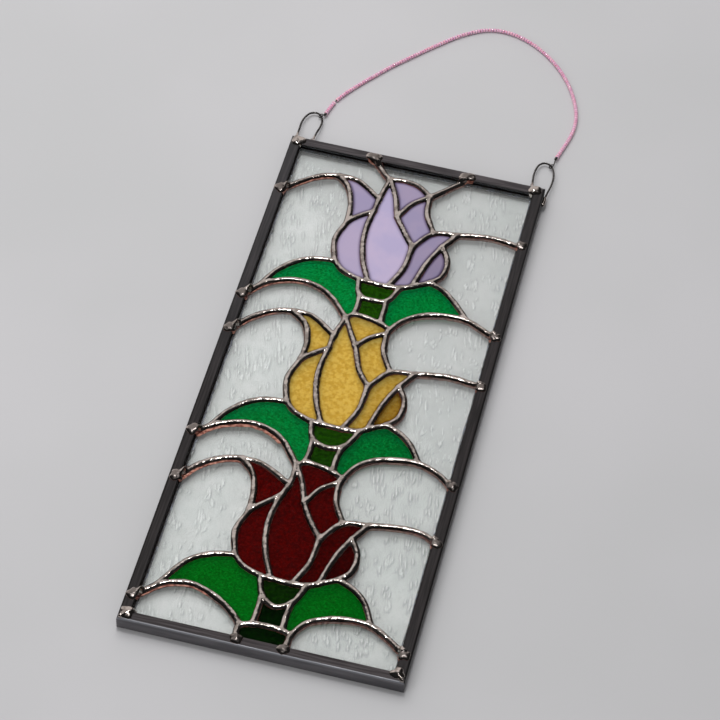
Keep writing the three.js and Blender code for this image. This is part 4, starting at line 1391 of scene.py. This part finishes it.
def leg_drop(loop_line, from_start, seed):
    """A drop along the first millimetres of a loop's wire, thick at the bar and thinning out along it."""
    line = loop_line if from_start else loop_line[::-1]
    run = np.concatenate([[0], np.cumsum(np.linalg.norm(np.diff(line, axis=0), axis=1))])
    middle = np.stack([np.interp(LEG_DROP_STOPS, run, line[:, k]) for k in range(3)], axis=1)
    radii = WIRE_RADIUS + (LEG_DROP_RADIUS - WIRE_RADIUS) * (1 - LEG_DROP_STOPS / LEG_DROP_LENGTH) ** 1.6
    radii[0] *= 0.72
    radii[-1] = WIRE_RADIUS * 1.02
    vertices, faces = tube(middle, radii, LEG_DROP_SIDES)
    rng = np.random.default_rng(seed)
    centre = np.repeat(middle, LEG_DROP_SIDES, axis=0)
    swell = 1 + 0.12 * np.sin(vertices @ rng.uniform(-2.4, 2.4, 3) + rng.uniform(0, 6))
    vertices = centre + (vertices - centre) * swell[:, None]
    return vertices, faces


drops = joined_shapes([
    leg_drop(left_loop_line, True, 1), leg_drop(left_loop_line, False, 2),
    leg_drop(right_loop_line, True, 3)])
side_lump = tube(SIDE_LUMP, SIDE_LUMP_RADII, 14)
leg_solder = add_piece("loop_solder", *joined_shapes([drops, side_lump]), SOLDER, "solder", smooth_angle=60)
print("drops on the loops:", len(leg_solder.data.polygons), "faces")

# %% [markdown]
# ## The zinc frame
#
# The frame is four lengths of U-shaped zinc channel, cut to a mitre at the corners, with the glass held in
# the open side. The channel is drawn through a die, so its outer edges are slightly round, and that small
# radius catches a thin line of light all along the bar. A bar is its profile, drawn once, with copies along
# the bar that are set back by the mitre at both ends.
#
# The black patina was wiped with a cloth, so it is uneven. Its edges are darkest, partly from patina and
# partly from painted shade, and the right bar's outer wall has painted shade too. A painted highlight runs
# along the outer crest of the bottom bar, and its outer wall has painted light. The left and right bars are
# paler towards the top and darker towards the bottom. Each point of the profile has two numbers for this, how
# dark and how bare and lit, and they change along the bar.

# %% The channel's profile
CHANNEL_WALL = 1.2
OUTER_RADIUS = 0.8
LIP_RADIUS = 0.4
FACE_EDGE = 0.45


def rounded(corner, before, after, radius, steps=5):
    """Points of an arc that rounds the corner between its two neighbours."""
    corner, before, after = (np.array(p, float) for p in (corner, before, after))
    back = (before - corner) / np.linalg.norm(before - corner)
    on = (after - corner) / np.linalg.norm(after - corner)
    centre = corner + (back + on) * radius
    turn = np.linspace(0, math.pi / 2, steps)
    return [tuple(centre - on * radius * math.cos(t) - back * radius * math.sin(t)) for t in turn]


def channel_profile():
    """The channel's outline. The first value goes in from the panel's edge, the second up."""
    top, face, wall = FRAME_TOP, FRAME_FACE, CHANNEL_WALL
    outline = [
        ((0, 0), OUTER_RADIUS), ((face, 0), LIP_RADIUS), ((face, wall), LIP_RADIUS), ((wall, wall), 0),
        ((wall, top - wall), 0), ((face, top - wall), LIP_RADIUS), ((face, top), LIP_RADIUS),
        ((0, top), OUTER_RADIUS),
    ]
    points = []
    for k, (corner, radius) in enumerate(outline):
        before, after = outline[k - 1][0], outline[(k + 1) % len(outline)][0]
        points += rounded(corner, before, after, radius) if radius else [corner]
    flat_ends = [(face - LIP_RADIUS - FACE_EDGE, top), (OUTER_RADIUS + FACE_EDGE, top)]
    return points[:-5] + flat_ends + points[-5:]


PROFILE = channel_profile()
print(len(PROFILE), "points in the channel's profile")

# %% Where the zinc is dark, and where it is bare
# Partly patina and partly painted shade. The outer edge comes first, then the lip.
EDGES_PATINA_AND_SHADE = {"left": (1.0, 1.0), "right": (1.0, 0.6), "top": (0.2, 0.8), "bottom": (0.0, 0.3)}
# A painted highlight on the bottom bar's crest and painted light on its outer wall. The inside is bare metal.
CREST_HIGHLIGHT = {"left": 0.0, "right": 0.0, "top": 0.0, "bottom": 0.75}
OUTER_WALL_LIGHT = {"left": 0.0, "right": 0.0, "top": 0.0, "bottom": 0.22}
FACE_DARK = {"left": 0.0, "right": 0.0, "top": 0.0, "bottom": 0.3}
# From one end of a bar to the other: above 0 it is paler, below 0 darker. The side bars are paler at the top.
END_TO_END_TONE = {"left": (1.2, -0.8), "right": (-0.5, 0.4), "top": (0.5, 0.5), "bottom": (0.0, 0.0)}
PALE_END_BARE = 0.08
DARK_END_STRENGTH = 0.4
INSIDE_BARE = 0.8
CREST = 0.75 * OUTER_RADIUS
SLACK = 0.01
BAR_STEPS = 14


def zinc_wear_and_shade(side):
    """Two numbers for each point of the profile: how dark it is, from patina and painted shade, and how bare it
    is, with painted light on the bottom bar.
    """
    outer_dark, inner_dark = EDGES_PATINA_AND_SHADE[side]
    dark, bare = [], []
    for inwards, height in PROFILE:
        on_arc = height > FRAME_TOP - OUTER_RADIUS - SLACK and inwards < OUTER_RADIUS + SLACK
        on_crest = height > FRAME_TOP - CREST and inwards < OUTER_RADIUS + SLACK
        on_lip = height > FRAME_TOP - CHANNEL_WALL - SLACK and inwards > FRAME_FACE - LIP_RADIUS - SLACK
        on_face = height > FRAME_TOP - SLACK
        outside = inwards < SLACK
        between_walls = CHANNEL_WALL - SLACK < height < FRAME_TOP - CHANNEL_WALL + SLACK
        inside = inwards > CHANNEL_WALL - SLACK and between_walls
        # The right bar's outer wall is painted dark, for the shade that falls on it.
        shaded_wall = outside and side == "right"
        dark.append(max(outer_dark * (on_arc or shaded_wall), inner_dark * on_lip, FACE_DARK[side] * on_face))
        bare.append(max(
            CREST_HIGHLIGHT[side] * on_crest, OUTER_WALL_LIGHT[side] * outside, INSIDE_BARE * (inside and not on_lip)))
    return dark, bare


def wear_and_shade_along(side):
    """The profile's two numbers for every ring of a bar, which is paler towards one of its ends."""
    dark, bare = zinc_wear_and_shade(side)
    end_tone = np.linspace(*END_TO_END_TONE[side], BAR_STEPS + 1)[:, None]
    return {
        "dark_patina_and_shade": np.maximum(dark, DARK_END_STRENGTH * np.clip(-end_tone, 0, 1)).ravel(),
        "bare_metal_and_highlight": np.maximum(bare, PALE_END_BARE * np.clip(end_tone, 0, 1)).ravel(),
    }


for side in END_TO_END_TONE:
    marks = wear_and_shade_along(side)
    print(side, "bar:", {name: round(float(numbers.mean()), 2) for name, numbers in marks.items()})


# %% The four bars
def bar_piece(side):
    """One mitred bar. Its profile is moved in from the panel's edge and set back at the ends by as much."""
    rings = []
    length = PANEL_WIDTH if side in ("top", "bottom") else PANEL_LENGTH
    for k in range(BAR_STEPS + 1):
        part = k / BAR_STEPS
        ring = []
        for inwards, height in PROFILE:
            run = inwards + (length - 2 * inwards) * part
            ring.append({
                "bottom": (LEFT + run, inwards, height), "right": (RIGHT - inwards, run, height),
                "top": (RIGHT - run, PANEL_LENGTH - inwards, height),
                "left": (LEFT + inwards, PANEL_LENGTH - run, height),
            }[side])
        rings.append(ring)
    count = len(PROFILE)
    faces = [tuple(range(count))]
    for k in range(BAR_STEPS):
        here, there = k * count, (k + 1) * count
        for n in range(count):
            after = (n + 1) % count
            faces.append((here + after, here + n, there + n, there + after))
    faces.append(tuple(range(BAR_STEPS * count, (BAR_STEPS + 1) * count))[::-1])
    zinc = ZINC_ACROSS if side in ("top", "bottom") else ZINC_UPRIGHT
    vertices = np.array(rings).reshape(-1, 3)
    bar = add_piece(f"frame_{side}", vertices, faces, zinc, "zinc", [f"zinc_bar_{side}"], 30)
    for name, numbers in wear_and_shade_along(side).items():
        attribute = bar.data.attributes.new(name, "FLOAT", "POINT")
        attribute.data.foreach_set("value", numbers)
    return bar


bars = [bar_piece(side) for side in ("bottom", "right", "top", "left")]
print("frame bars:", [bar.name for bar in bars])

# %% [markdown]
# ## Glass that lets light through
#
# A path tracer finds light through clear glass only by luck, because the glass bends it. So each glass is
# mixed with a plain Transparent shader, which takes over for two kinds of rays: those that look for a lamp,
# and those that a matt surface such as the table sends out. What lies below is then lit through the glass, in
# the glass's own colour. For the eye it stays glass that bends and mirrors. The light that the renderer would
# find by luck as well is switched off, so that nothing is counted twice.
#
# The clear glass has the index of real window glass, 1.52. The coloured glasses get a much lower one. The
# pale wall mirrors in every flat pane as a grey veil, which the photo doesn't show over the deep reds and
# greens, and a low index keeps that mirror weak. Each glass is drawn in two close tones, and a third one is
# multiplied in where the pane's "shade" says so.

# %% Light through the glass
bpy.context.scene.cycles.caustics_reflective = False
bpy.context.scene.cycles.caustics_refractive = False


def let_light_pass(material, tree, shader, tint):
    """Shadow rays and diffuse rays go straight through, coloured by the tint."""
    out = next(node for node in tree.nodes if node.type == "OUTPUT_MATERIAL")
    rays = add_node(tree, "ShaderNodeLightPath")
    looking = add_node(tree, "ShaderNodeMath", {
        0: rays.outputs["Is Shadow Ray"], 1: rays.outputs["Is Diffuse Ray"]}, operation="MAXIMUM")
    through = add_node(tree, "ShaderNodeBsdfTransparent", {"Color": tint})
    either = add_node(tree, "ShaderNodeMixShader", {
        0: looking.outputs[0], 1: shader.outputs[0], 2: through.outputs[0]})
    tree.links.new(either.outputs[0], out.inputs["Surface"])
    return material


# %% Glass materials
CLEAR_IOR = 1.52
DEEP_IOR = 1.08
FINE_RELIEF = 0.0001


def glass_material(name, pale, deep, dark, tint, transmission, roughness, mottle_size, relief_height=0.0,
                   ior=DEEP_IOR):
    """A glass between two tones, darkened by the panes' "shade" numbers. A height gives it a fine relief."""
    material, tree, shader = start_material(
        name, IOR=ior, Transmission_Weight=transmission, Roughness=roughness)
    tone = use_group(tree, MOTTLE, Size=mottle_size, Low=0.36, High=0.64)
    toned = mixed(tree, tone.outputs["Mask"], pale, deep)
    shaded = mixed(tree, mesh_number(tree, "shade"), toned, dark, blend_type="MULTIPLY")
    feed(tree, shader, Base_Color=shaded)
    if relief_height:
        fine = use_group(tree, RELIEF, Size=0.0009, Height=relief_height)
        feed(tree, shader, Normal=fine.outputs["Normal"])
    return let_light_pass(material, tree, shader, tint)


GLASS = {
    "clear": glass_material(
        "clear_glass", colour(250, 254, 251), colour(247, 252, 249), dark=colour(150, 155, 153),
        tint=colour(255, 255, 255), transmission=0.96, roughness=0.03, mottle_size=0.02, ior=CLEAR_IOR),
    "lilac": glass_material(
        "lilac_glass", colour(184, 170, 197), colour(174, 164, 195), dark=colour(108, 98, 116),
        tint=colour(225, 215, 235), transmission=0.0, roughness=0.1, mottle_size=0.02),
    "amber": glass_material(
        "amber_glass", colour(238, 211, 111), colour(214, 181, 80), dark=colour(120, 100, 60),
        tint=colour(246, 226, 170), transmission=0.6, roughness=0.12, mottle_size=0.0022),
    "red": glass_material(
        "red_glass", colour(134, 14, 10), colour(88, 2, 2), dark=colour(100, 50, 50),
        tint=colour(180, 60, 60), transmission=0.75, roughness=0.1, mottle_size=0.0013,
        relief_height=FINE_RELIEF),
    "leaf": glass_material(
        "leaf_glass", colour(1, 200, 112), colour(0, 150, 70), dark=colour(60, 110, 60),
        tint=colour(70, 200, 140), transmission=0.75, roughness=0.1, mottle_size=0.0012,
        relief_height=FINE_RELIEF),
    "deep_leaf": glass_material(
        "deep_leaf_glass", colour(1, 166, 46), colour(0, 124, 26), dark=colour(60, 110, 60),
        tint=colour(60, 190, 100), transmission=0.75, roughness=0.1, mottle_size=0.0012,
        relief_height=FINE_RELIEF),
    "stem": glass_material(
        "stem_glass", colour(58, 128, 6), colour(36, 90, 2), dark=colour(34, 88, 24),
        tint=colour(120, 160, 80), transmission=0.75, roughness=0.1, mottle_size=0.002,
        relief_height=FINE_RELIEF),
}
print("glasses:", list(GLASS))

# %% [markdown]
# ## Rain in the clear glass
#
# The background is rolled glass with a rain texture: long drops stand up from its face in loose groups, all
# lying along the sheet, with here and there a thin streak. They bend what is seen through them, and they are
# large enough to see from the side too, so they are in the mesh. Each drop is stamped on the height map. A drop
# is also a small lens, which gathers light into its core and leaves the glass beside it darker. Both are
# painted into the glass's colour: a painted highlight on each drop's core, and painted shade on its flanks,
# which a second map holds, a little wider than the drops and moved towards the lower right. That map becomes
# the panes'
# "shade". The hammered amber glass gets a field of shallow dimples, and the smooth glasses a faint wave.

# %% Drops of rain on the sheet
DROP_RISE = 0.26
DROP_SPACING = 9.0
DROP_WIDTHS = (0.42, 0.64)
DROP_LENGTHS = (1.4, 2.7)
DROP_LEAN = -0.16
STREAK_SHARE = 0.25
STREAK_LENGTH = 1.9
FLANK_WIDTH = 1.9
FLANK_LENGTH = 1.1
FLANK_SHIFT = (0.35, -0.2)
CLEAR_SHADE = 0.28
FLANK_SHADE = 0.58


def stamp(heights, x, y, across, along, lean, rise):
    """One long rounded drop on the height map."""
    i0, i1 = np.searchsorted(grid_x, (x - 1.6 * along, x + 1.6 * along))
    j0, j1 = np.searchsorted(grid_y, (y - 1.6 * along, y + 1.6 * along))
    dx, dy = GRID_X[i0:i1, j0:j1] - x, GRID_Y[i0:i1, j0:j1] - y
    u = (dx * math.cos(lean) - dy * math.sin(lean)) / across
    v = (dx * math.sin(lean) + dy * math.cos(lean)) / along
    shape = rise * np.exp(-(u * u + v * v) ** 1.2)
    heights[i0:i1, j0:j1] = np.maximum(heights[i0:i1, j0:j1], shape)


def rain_relief():
    """The drops' heights, and the painted shade beside each drop's lens, with a painted highlight on its core.
    """
    heights = np.zeros(GRID_X.shape)
    flanks = np.zeros(GRID_X.shape)
    rng = np.random.default_rng(52)
    groups = 0
    for gx in np.arange(LEFT, RIGHT, DROP_SPACING):
        for gy in np.arange(0, PANEL_LENGTH, DROP_SPACING * 1.15):
            cx, cy = gx + rng.uniform(0, DROP_SPACING), gy + rng.uniform(0, DROP_SPACING)
            longer = STREAK_LENGTH if rng.random() < STREAK_SHARE else 1.0
            for _ in range(rng.integers(2, 6)):
                x, y = cx + rng.normal(0, 2.2), cy + rng.normal(0, 1.5)
                across, along = rng.uniform(*DROP_WIDTHS), rng.uniform(*DROP_LENGTHS) * longer
                lean, part = rng.normal(DROP_LEAN, 0.07), rng.uniform(0.5, 1.0)
                stamp(heights, x, y, across, along, lean, DROP_RISE * part)
                fx, fy = x + FLANK_SHIFT[0], y + FLANK_SHIFT[1]
                stamp(flanks, fx, fy, across * FLANK_WIDTH, along * FLANK_LENGTH, lean, part)
            groups += 1
    # A painted highlight on each drop's core and painted shade on its flanks.
    core = smooth_step(heights / DROP_RISE, 0.2, 0.8)
    cloud = 0.07 * soft_noise(9.0, 59) + 0.05 * soft_noise(3.4, 60)
    shade = np.clip(CLEAR_SHADE + cloud + FLANK_SHADE * flanks - core, 0, 1)
    return heights + 0.02 * (1 + soft_noise(14.0, 51)), shade, groups


rain, rain_shade, drop_groups = rain_relief()
print("groups of drops:", drop_groups)


# %% The relief of the coloured glasses
DIMPLE_SIZE = 3.4
DIMPLE_DEPTH = 0.16


def dimple_relief(size, depth, seed):
    """Shallow round dimples that touch each other, as a hammered sheet has."""
    rng = np.random.default_rng(seed)
    heights = np.full(GRID_X.shape, 1.0)
    for gx in np.arange(LEFT - size, RIGHT + size, size):
        for gy in np.arange(-size, PANEL_LENGTH + size, size):
            x, y = gx + rng.uniform(0, size), gy + rng.uniform(0, size)
            reach = size * rng.uniform(0.8, 1.05)
            i0, i1 = np.searchsorted(grid_x, (x - reach, x + reach))
            j0, j1 = np.searchsorted(grid_y, (y - reach, y + reach))
            if i0 >= i1 or j0 >= j1:
                continue
            square = ((GRID_X[i0:i1, j0:j1] - x) ** 2 + (GRID_Y[i0:i1, j0:j1] - y) ** 2) / reach ** 2
            view = heights[i0:i1, j0:j1]
            np.minimum(view, square, out=view)
    return depth * np.clip(heights, 0, 1)


hammered = dimple_relief(DIMPLE_SIZE, DIMPLE_DEPTH, 53)
faint = 0.03 * soft_noise(12.0, 54)
fine_wave = 0.03 * soft_noise(2.0, 55) + 0.02 * soft_noise(1.2, 56)
RELIEFS = {
    "clear": rain, "lilac": faint, "amber": hammered, "red": fine_wave, "leaf": fine_wave,
    "deep_leaf": fine_wave, "stem": fine_wave,
}
print("relief from", {kind: round(float(np.ptp(field)), 2) for kind, field in RELIEFS.items()}, "mm")

# %% Where each glass is darker
# Painted shade: the lilac and amber glass darken within a few millimetres of a seam, where the beads shade
# them. The speckle is the glass's own texture.
SEAM_SHADE = 0.75
near_seam = SEAM_SHADE * (1 - smooth_step(seam_distance, 1.4, REACH)) ** 1.5
speckle = np.clip(0.5 * soft_noise(1.1, 57) + 0.5 * soft_noise(0.8, 58), 0, 1)
SHADES = {
    "clear": rain_shade, "lilac": near_seam, "amber": near_seam * 0.6 + 0.22 * speckle, "red": 0.5 * speckle,
    "leaf": 0.4 * speckle, "deep_leaf": 0.4 * speckle, "stem": 0.4 * speckle,
}
print("mean shade", {kind: round(float(field.mean()), 2) for kind, field in SHADES.items()})

# %% [markdown]
# ## The panes
#
# The 49 panes fill the fields between the seams. Each field is found by flooding the grid, and named by a
# point that lies in it. A pane is cut a little inside the seam's middle, leaving room for the foil, and
# reaches under the frame's lip at the border. Its top carries the relief, its underside is flat.

# %% Where each pane lies
FOIL_GAP = 0.5
# A point inside each pane, in its tulip's own units.
PETALS = {"left_tip": (52, 63), "left": (52, 25), "heart": (72, 25), "right_top": (77, 74), "right": (84, 57),
          "curl": (92, 25), "little": (104, 22)}
GREENS = {"calyx": (76, -6), "stem": (75.5, -19), "leaf_left": (45, -3), "leaf_right": (105, -5)}
CLEARS = {"clear_left": (25, 40), "clear_crescent": (32, -21), "clear_side": (125, 20),
          "clear_right": (115, 65)}


def pane_seeds():
    """Each pane's node name, with its glass and a point inside it."""
    seeds = {}
    for index, tulip in enumerate(TULIPS):
        for part, place in PETALS.items():
            seeds[f"{tulip['petals']}_petal_{part}"] = (tulip["petals"], at(index, *place))
        for part, place in GREENS.items():
            leaf = "deep_leaf" if index == LOWER else "leaf"
            seeds[f"{tulip['name']}_{part}"] = (leaf if "leaf" in part else "stem", at(index, *place))
        for part, place in CLEARS.items():
            seeds[f"{tulip['name']}_{part}"] = ("clear", at(index, *place))
    seeds["foot_piece"] = ("stem", (0, 12))
    seeds["bottom_clear_right"] = ("clear", (LEFT + 115, 17))
    seeds["top_clear_left"] = ("clear", (LEFT + 20, 343))
    seeds["top_clear_middle"] = ("clear", (LEFT + 78, 345))
    return seeds


SEEDS = pane_seeds()
print(len(SEEDS), "panes are named")


# %% Flooding the fields
def flood(inside):
    """A label for each connected region of the mask. A run along a column joins the runs that it touches."""
    labels = np.zeros(inside.shape, int)
    parent = [0]

    def root(label):
        while parent[label] != label:
            label = parent[label]
        return label

    for i, column in enumerate(inside):
        changes = np.flatnonzero(np.diff(np.concatenate([[0], column.astype(int), [0]])))
        for start, end in zip(changes[::2], changes[1::2]):
            touched = {root(label) for label in np.unique(labels[i - 1, start:end]) if label} if i else set()
            if touched:
                label = min(touched)
                for other in touched:
                    parent[other] = label
            else:
                label = len(parent)
                parent.append(label)
            labels[i, start:end] = label
    roots = np.array([root(label) for label in range(len(parent))])
    return roots[labels]


BORDER = CHANNEL_WALL + 0.3
glass_field = np.minimum(cut_distance - FOIL_GAP, edge_distance - BORDER)
print("fields between the seams:", len(np.unique(flood(glass_field > 0))) - 1)

# %% [markdown]
# ## Painted shade for each pane
#
# Panes of one glass are not all as bright. The narrower petals, where the seams shade more of the glass, and
# the panes mostly towards the bottom and the right, where less light falls, are darker. Each pane gets one
# number of painted shade on top of its glass's own shading. It is kept in the pane's "shade", which the
# material multiplies in, so that one material serves a whole flower.

# %% Each pane's painted shade
PETAL_SHADE_LEVELS = {
    "lilac": dict(left_tip=0.3, left=0.16, heart=0.0, right_top=0.36, right=0.33, curl=0.42, little=0.56),
    "amber": dict(left_tip=0.04, left=0.02, heart=0.0, right_top=0.1, right=0.06, curl=0.28, little=0.75),
    "red": dict(left_tip=0.0, left=0.05, heart=0.16, right_top=0.06, right=0.14, curl=0.36, little=0.56),
}
PANE_SHADE_LEVELS = {
    "upper_leaf_right": 0.12, "middle_leaf_left": 0.18, "middle_leaf_right": 0.4, "lower_leaf_right": 0.1,
    "middle_calyx": 0.1, "middle_stem": 0.3, "lower_calyx": 0.75, "lower_stem": 1.0, "foot_piece": 0.95,
    "lower_clear_right": 0.12, "lower_clear_side": 0.12, "bottom_clear_right": 0.1, "upper_clear_left": 0.05,
}


def painted_shade_of(node, kind):
    """How much painted shade a pane gets, from 0 to 1."""
    part = node.split("_petal_")[-1]
    return PETAL_SHADE_LEVELS.get(kind, {}).get(part, PANE_SHADE_LEVELS.get(node, 0.0))


# Painted shade: these panes are drawn darker than their glass.
darkened = [node for node, (kind, place) in SEEDS.items() if painted_shade_of(node, kind)]
print(len(darkened), "panes are darker than their sheet")


# %% One pane's mesh
def pane_mesh(name, field, faces, owners, labels, label, relief, shade, step, material):
    """One region of the field as a closed pane: relief on top, a wall round it and one flat face below."""
    chosen = [face[labels.ravel()[owner] == label] for face, owner in zip(faces, owners)]
    chosen = [face for face in chosen if len(face)]
    used, packed = np.unique(np.concatenate([face.ravel() for face in chosen]), return_inverse=True)
    cuts = np.cumsum([face.size for face in chosen])[:-1]
    top_faces = [part.reshape(face.shape) for part, face in zip(np.split(packed.ravel(), cuts), chosen)]
    i, j = flat_points(field, used)
    i, j = i * step, j * step
    x, y = LEFT + CELL * i, CELL * j
    upper = np.stack([x, y, GLASS_TOP + sampled(relief, i, j)], axis=1)
    starts, ends = border_edges(top_faces)
    follow = dict(zip(starts.tolist(), ends.tolist()))
    ring = [int(starts[0])]
    while follow[ring[-1]] != ring[0]:
        ring.append(follow[ring[-1]])
    if len(ring) != len(starts):
        print(f"{name}: {len(starts) - len(ring)} border edges lie off the main ring")
    lower = np.stack([x[ring], y[ring], np.full(len(ring), GLASS_BOTTOM)], axis=1)
    below = len(used) + np.arange(len(ring))
    above = np.array(ring)
    walls = np.stack([np.roll(above, -1), above, below, np.roll(below, -1)], axis=1)
    all_faces = [*top_faces, walls, below[None, ::-1]]
    mesh = mesh_from_arrays(name, np.vstack([upper, lower]), all_faces, [material])
    mesh.set_sharp_from_angle(angle=math.radians(50))
    dark = mesh.attributes.new("shade", "FLOAT", "POINT")
    dark.data.foreach_set("value", np.concatenate([sampled(shade, i, j), np.zeros(len(ring))]))
    return mesh


# %% All the panes
GRID_STEPS = ((1, ("clear",)), (2, ("lilac", "amber", "red", "leaf", "deep_leaf", "stem")))


def cut_panes():
    """The clear panes on the whole grid, for their fine drops, and the smoother ones on every other line."""
    made = []
    for step, chosen in GRID_STEPS:
        field = glass_field[::step, ::step]
        labels = flood(field > 0)
        faces, owners = cut_cells(field)
        for node, (kind, place) in SEEDS.items():
            if kind not in chosen:
                continue
            label = labels[round((place[0] - LEFT) / CELL / step), round(place[1] / CELL / step)]
            name = f"pane_{node}"
            shade = np.clip(SHADES[kind] + painted_shade_of(node, kind), 0, 1)
            mesh = pane_mesh(
                name, field, faces, owners, labels, label, RELIEFS[kind], shade, step, GLASS[kind])
            made.append(add_mesh(name, mesh, [node]))
    return made


panes = cut_panes()
print(len(panes), "panes with", sum(len(pane.data.polygons) for pane in panes), "faces")

# %% [markdown]
# ## Table and light
#
# The panel was photographed on a pale grey table in a dim room. What draws the solder is what it mirrors: a
# pale wall behind the panel gives each bead a broad light band on the side that faces it, a small lamp high
# above gives broken white glints, and the dark room gives the black on the other side. Two more soft lights
# only fill the shadows, so the metal doesn't mirror them. The table is lit by all of them.

# %% Table
TABLE_REACH = 6.0
TABLE_PALE = colour(192, 191, 193)
TABLE_DEEP = colour(186, 186, 187)


def table_material():
    material, tree, shader = start_material("table", Roughness=0.55)
    tone = use_group(tree, MOTTLE, Size=0.25, Low=0.3, High=0.7)
    feed(tree, shader, Base_Color=mixed(tree, tone.outputs["Mask"], TABLE_PALE, TABLE_DEEP))
    return material


def add_table():
    mesh = bpy.data.meshes.new("table")
    reach = TABLE_REACH
    corners = [(-reach, -reach, 0), (reach, -reach, 0), (reach, reach, 0), (-reach, reach, 0)]
    mesh.from_pydata(corners, [], [(0, 1, 2, 3)])
    mesh.materials.append(table_material())
    table = bpy.data.objects.new("table", mesh)
    bpy.context.scene.collection.objects.link(table)
    return table


table = add_table()
print("table of", 2 * TABLE_REACH, "m with", table.data.materials[0].name)

# %% [markdown]
# ## The lights
#
# A rounded bead of metal has little look of its own: it shows where the lamps are. So the lamps were moved
# until the light bands and glints on the beads came close to the photo's. The pale wall stands behind the
# panel, a little to the left. The lamp overhead is small and high, further back and to the left, because the
# table's shadows fall towards the lower right. For rays that were mirrored the room itself is almost black.
# For all others it is a weak even light.

# %% Lights
LAMP_PLACE = (-0.2, 0.6, 2.95)
LAMP_SIZE = 0.34
LAMP_POWER = 17
WALL_DISTANCE = 2.2
WALL_HEIGHT = 3.9
WALL_WIDTH = 3.8
WALL_AZIMUTH = math.radians(-28)
WALL_FOOT = 0.05
WALL_TONE = (1.0, 0.96, 0.94)
WALL_POWER = 30
WINDOW_PLACE = (-0.4, 0.45, 1.2)
WINDOW_SIZE = 1.0
WINDOW_POWER = 8
FRONT_PLACE = (-0.8, -1.5, 1.3)
FRONT_SIZE = 1.4
FRONT_POWER = 10.5
ROOM_LIGHT = 0.33
ROOM_GLOSS = 0.015
ROOM_TONE = (0.98, 0.98, 1.0, 1.0)


def add_lamp(name, place, aim, width, height, power, tone=(1, 1, 1)):
    """A rectangular lamp that faces the aim."""
    data = bpy.data.lights.new(name, "AREA")
    data.shape = "RECTANGLE"
    data.size = width
    data.size_y = height
    data.energy = power
    data.color = tone
    lamp = bpy.data.objects.new(name, data)
    lamp.location = place
    lamp.rotation_euler = (Vector(aim) - Vector(place)).to_track_quat("-Z", "Y").to_euler()
    bpy.context.scene.collection.objects.link(lamp)
    return lamp


def add_room():
    """A weak even light from all sides, which the metal mirrors almost black."""
    world = bpy.data.worlds.new("room")
    world.use_nodes = True
    tree = world.node_tree
    back = tree.nodes["Background"]
    back.inputs["Color"].default_value = ROOM_TONE
    rays = add_node(tree, "ShaderNodeLightPath")
    strength = add_node(tree, "ShaderNodeMapRange", {
        "Value": rays.outputs["Is Glossy Ray"], "To Min": ROOM_LIGHT, "To Max": ROOM_GLOSS})
    tree.links.new(strength.outputs["Result"], back.inputs["Strength"])
    bpy.context.scene.world = world


# %% Lamps in place
add_room()
wall_middle = WALL_FOOT + WALL_HEIGHT / 2
wall_place = (WALL_DISTANCE * math.sin(WALL_AZIMUTH), WALL_DISTANCE * math.cos(WALL_AZIMUTH), wall_middle)
overhead = add_lamp("overhead", LAMP_PLACE, (0, 0, 0), LAMP_SIZE, LAMP_SIZE, LAMP_POWER)
wall = add_lamp(
    "pale_wall", wall_place, (0, 0, wall_middle), WALL_WIDTH, WALL_HEIGHT, WALL_POWER, WALL_TONE)
window = add_lamp("window", WINDOW_PLACE, (0, 0, 0), WINDOW_SIZE, WINDOW_SIZE, WINDOW_POWER)
front = add_lamp("front", FRONT_PLACE, (0, 0, 0), FRONT_SIZE, FRONT_SIZE, FRONT_POWER)
for soft in (window, front):
    soft.visible_glossy = False
bpy.context.scene.view_settings.view_transform = "Standard"
print("lamps:", {lamp.name: lamp.data.energy for lamp in (overhead, wall, window, front)})
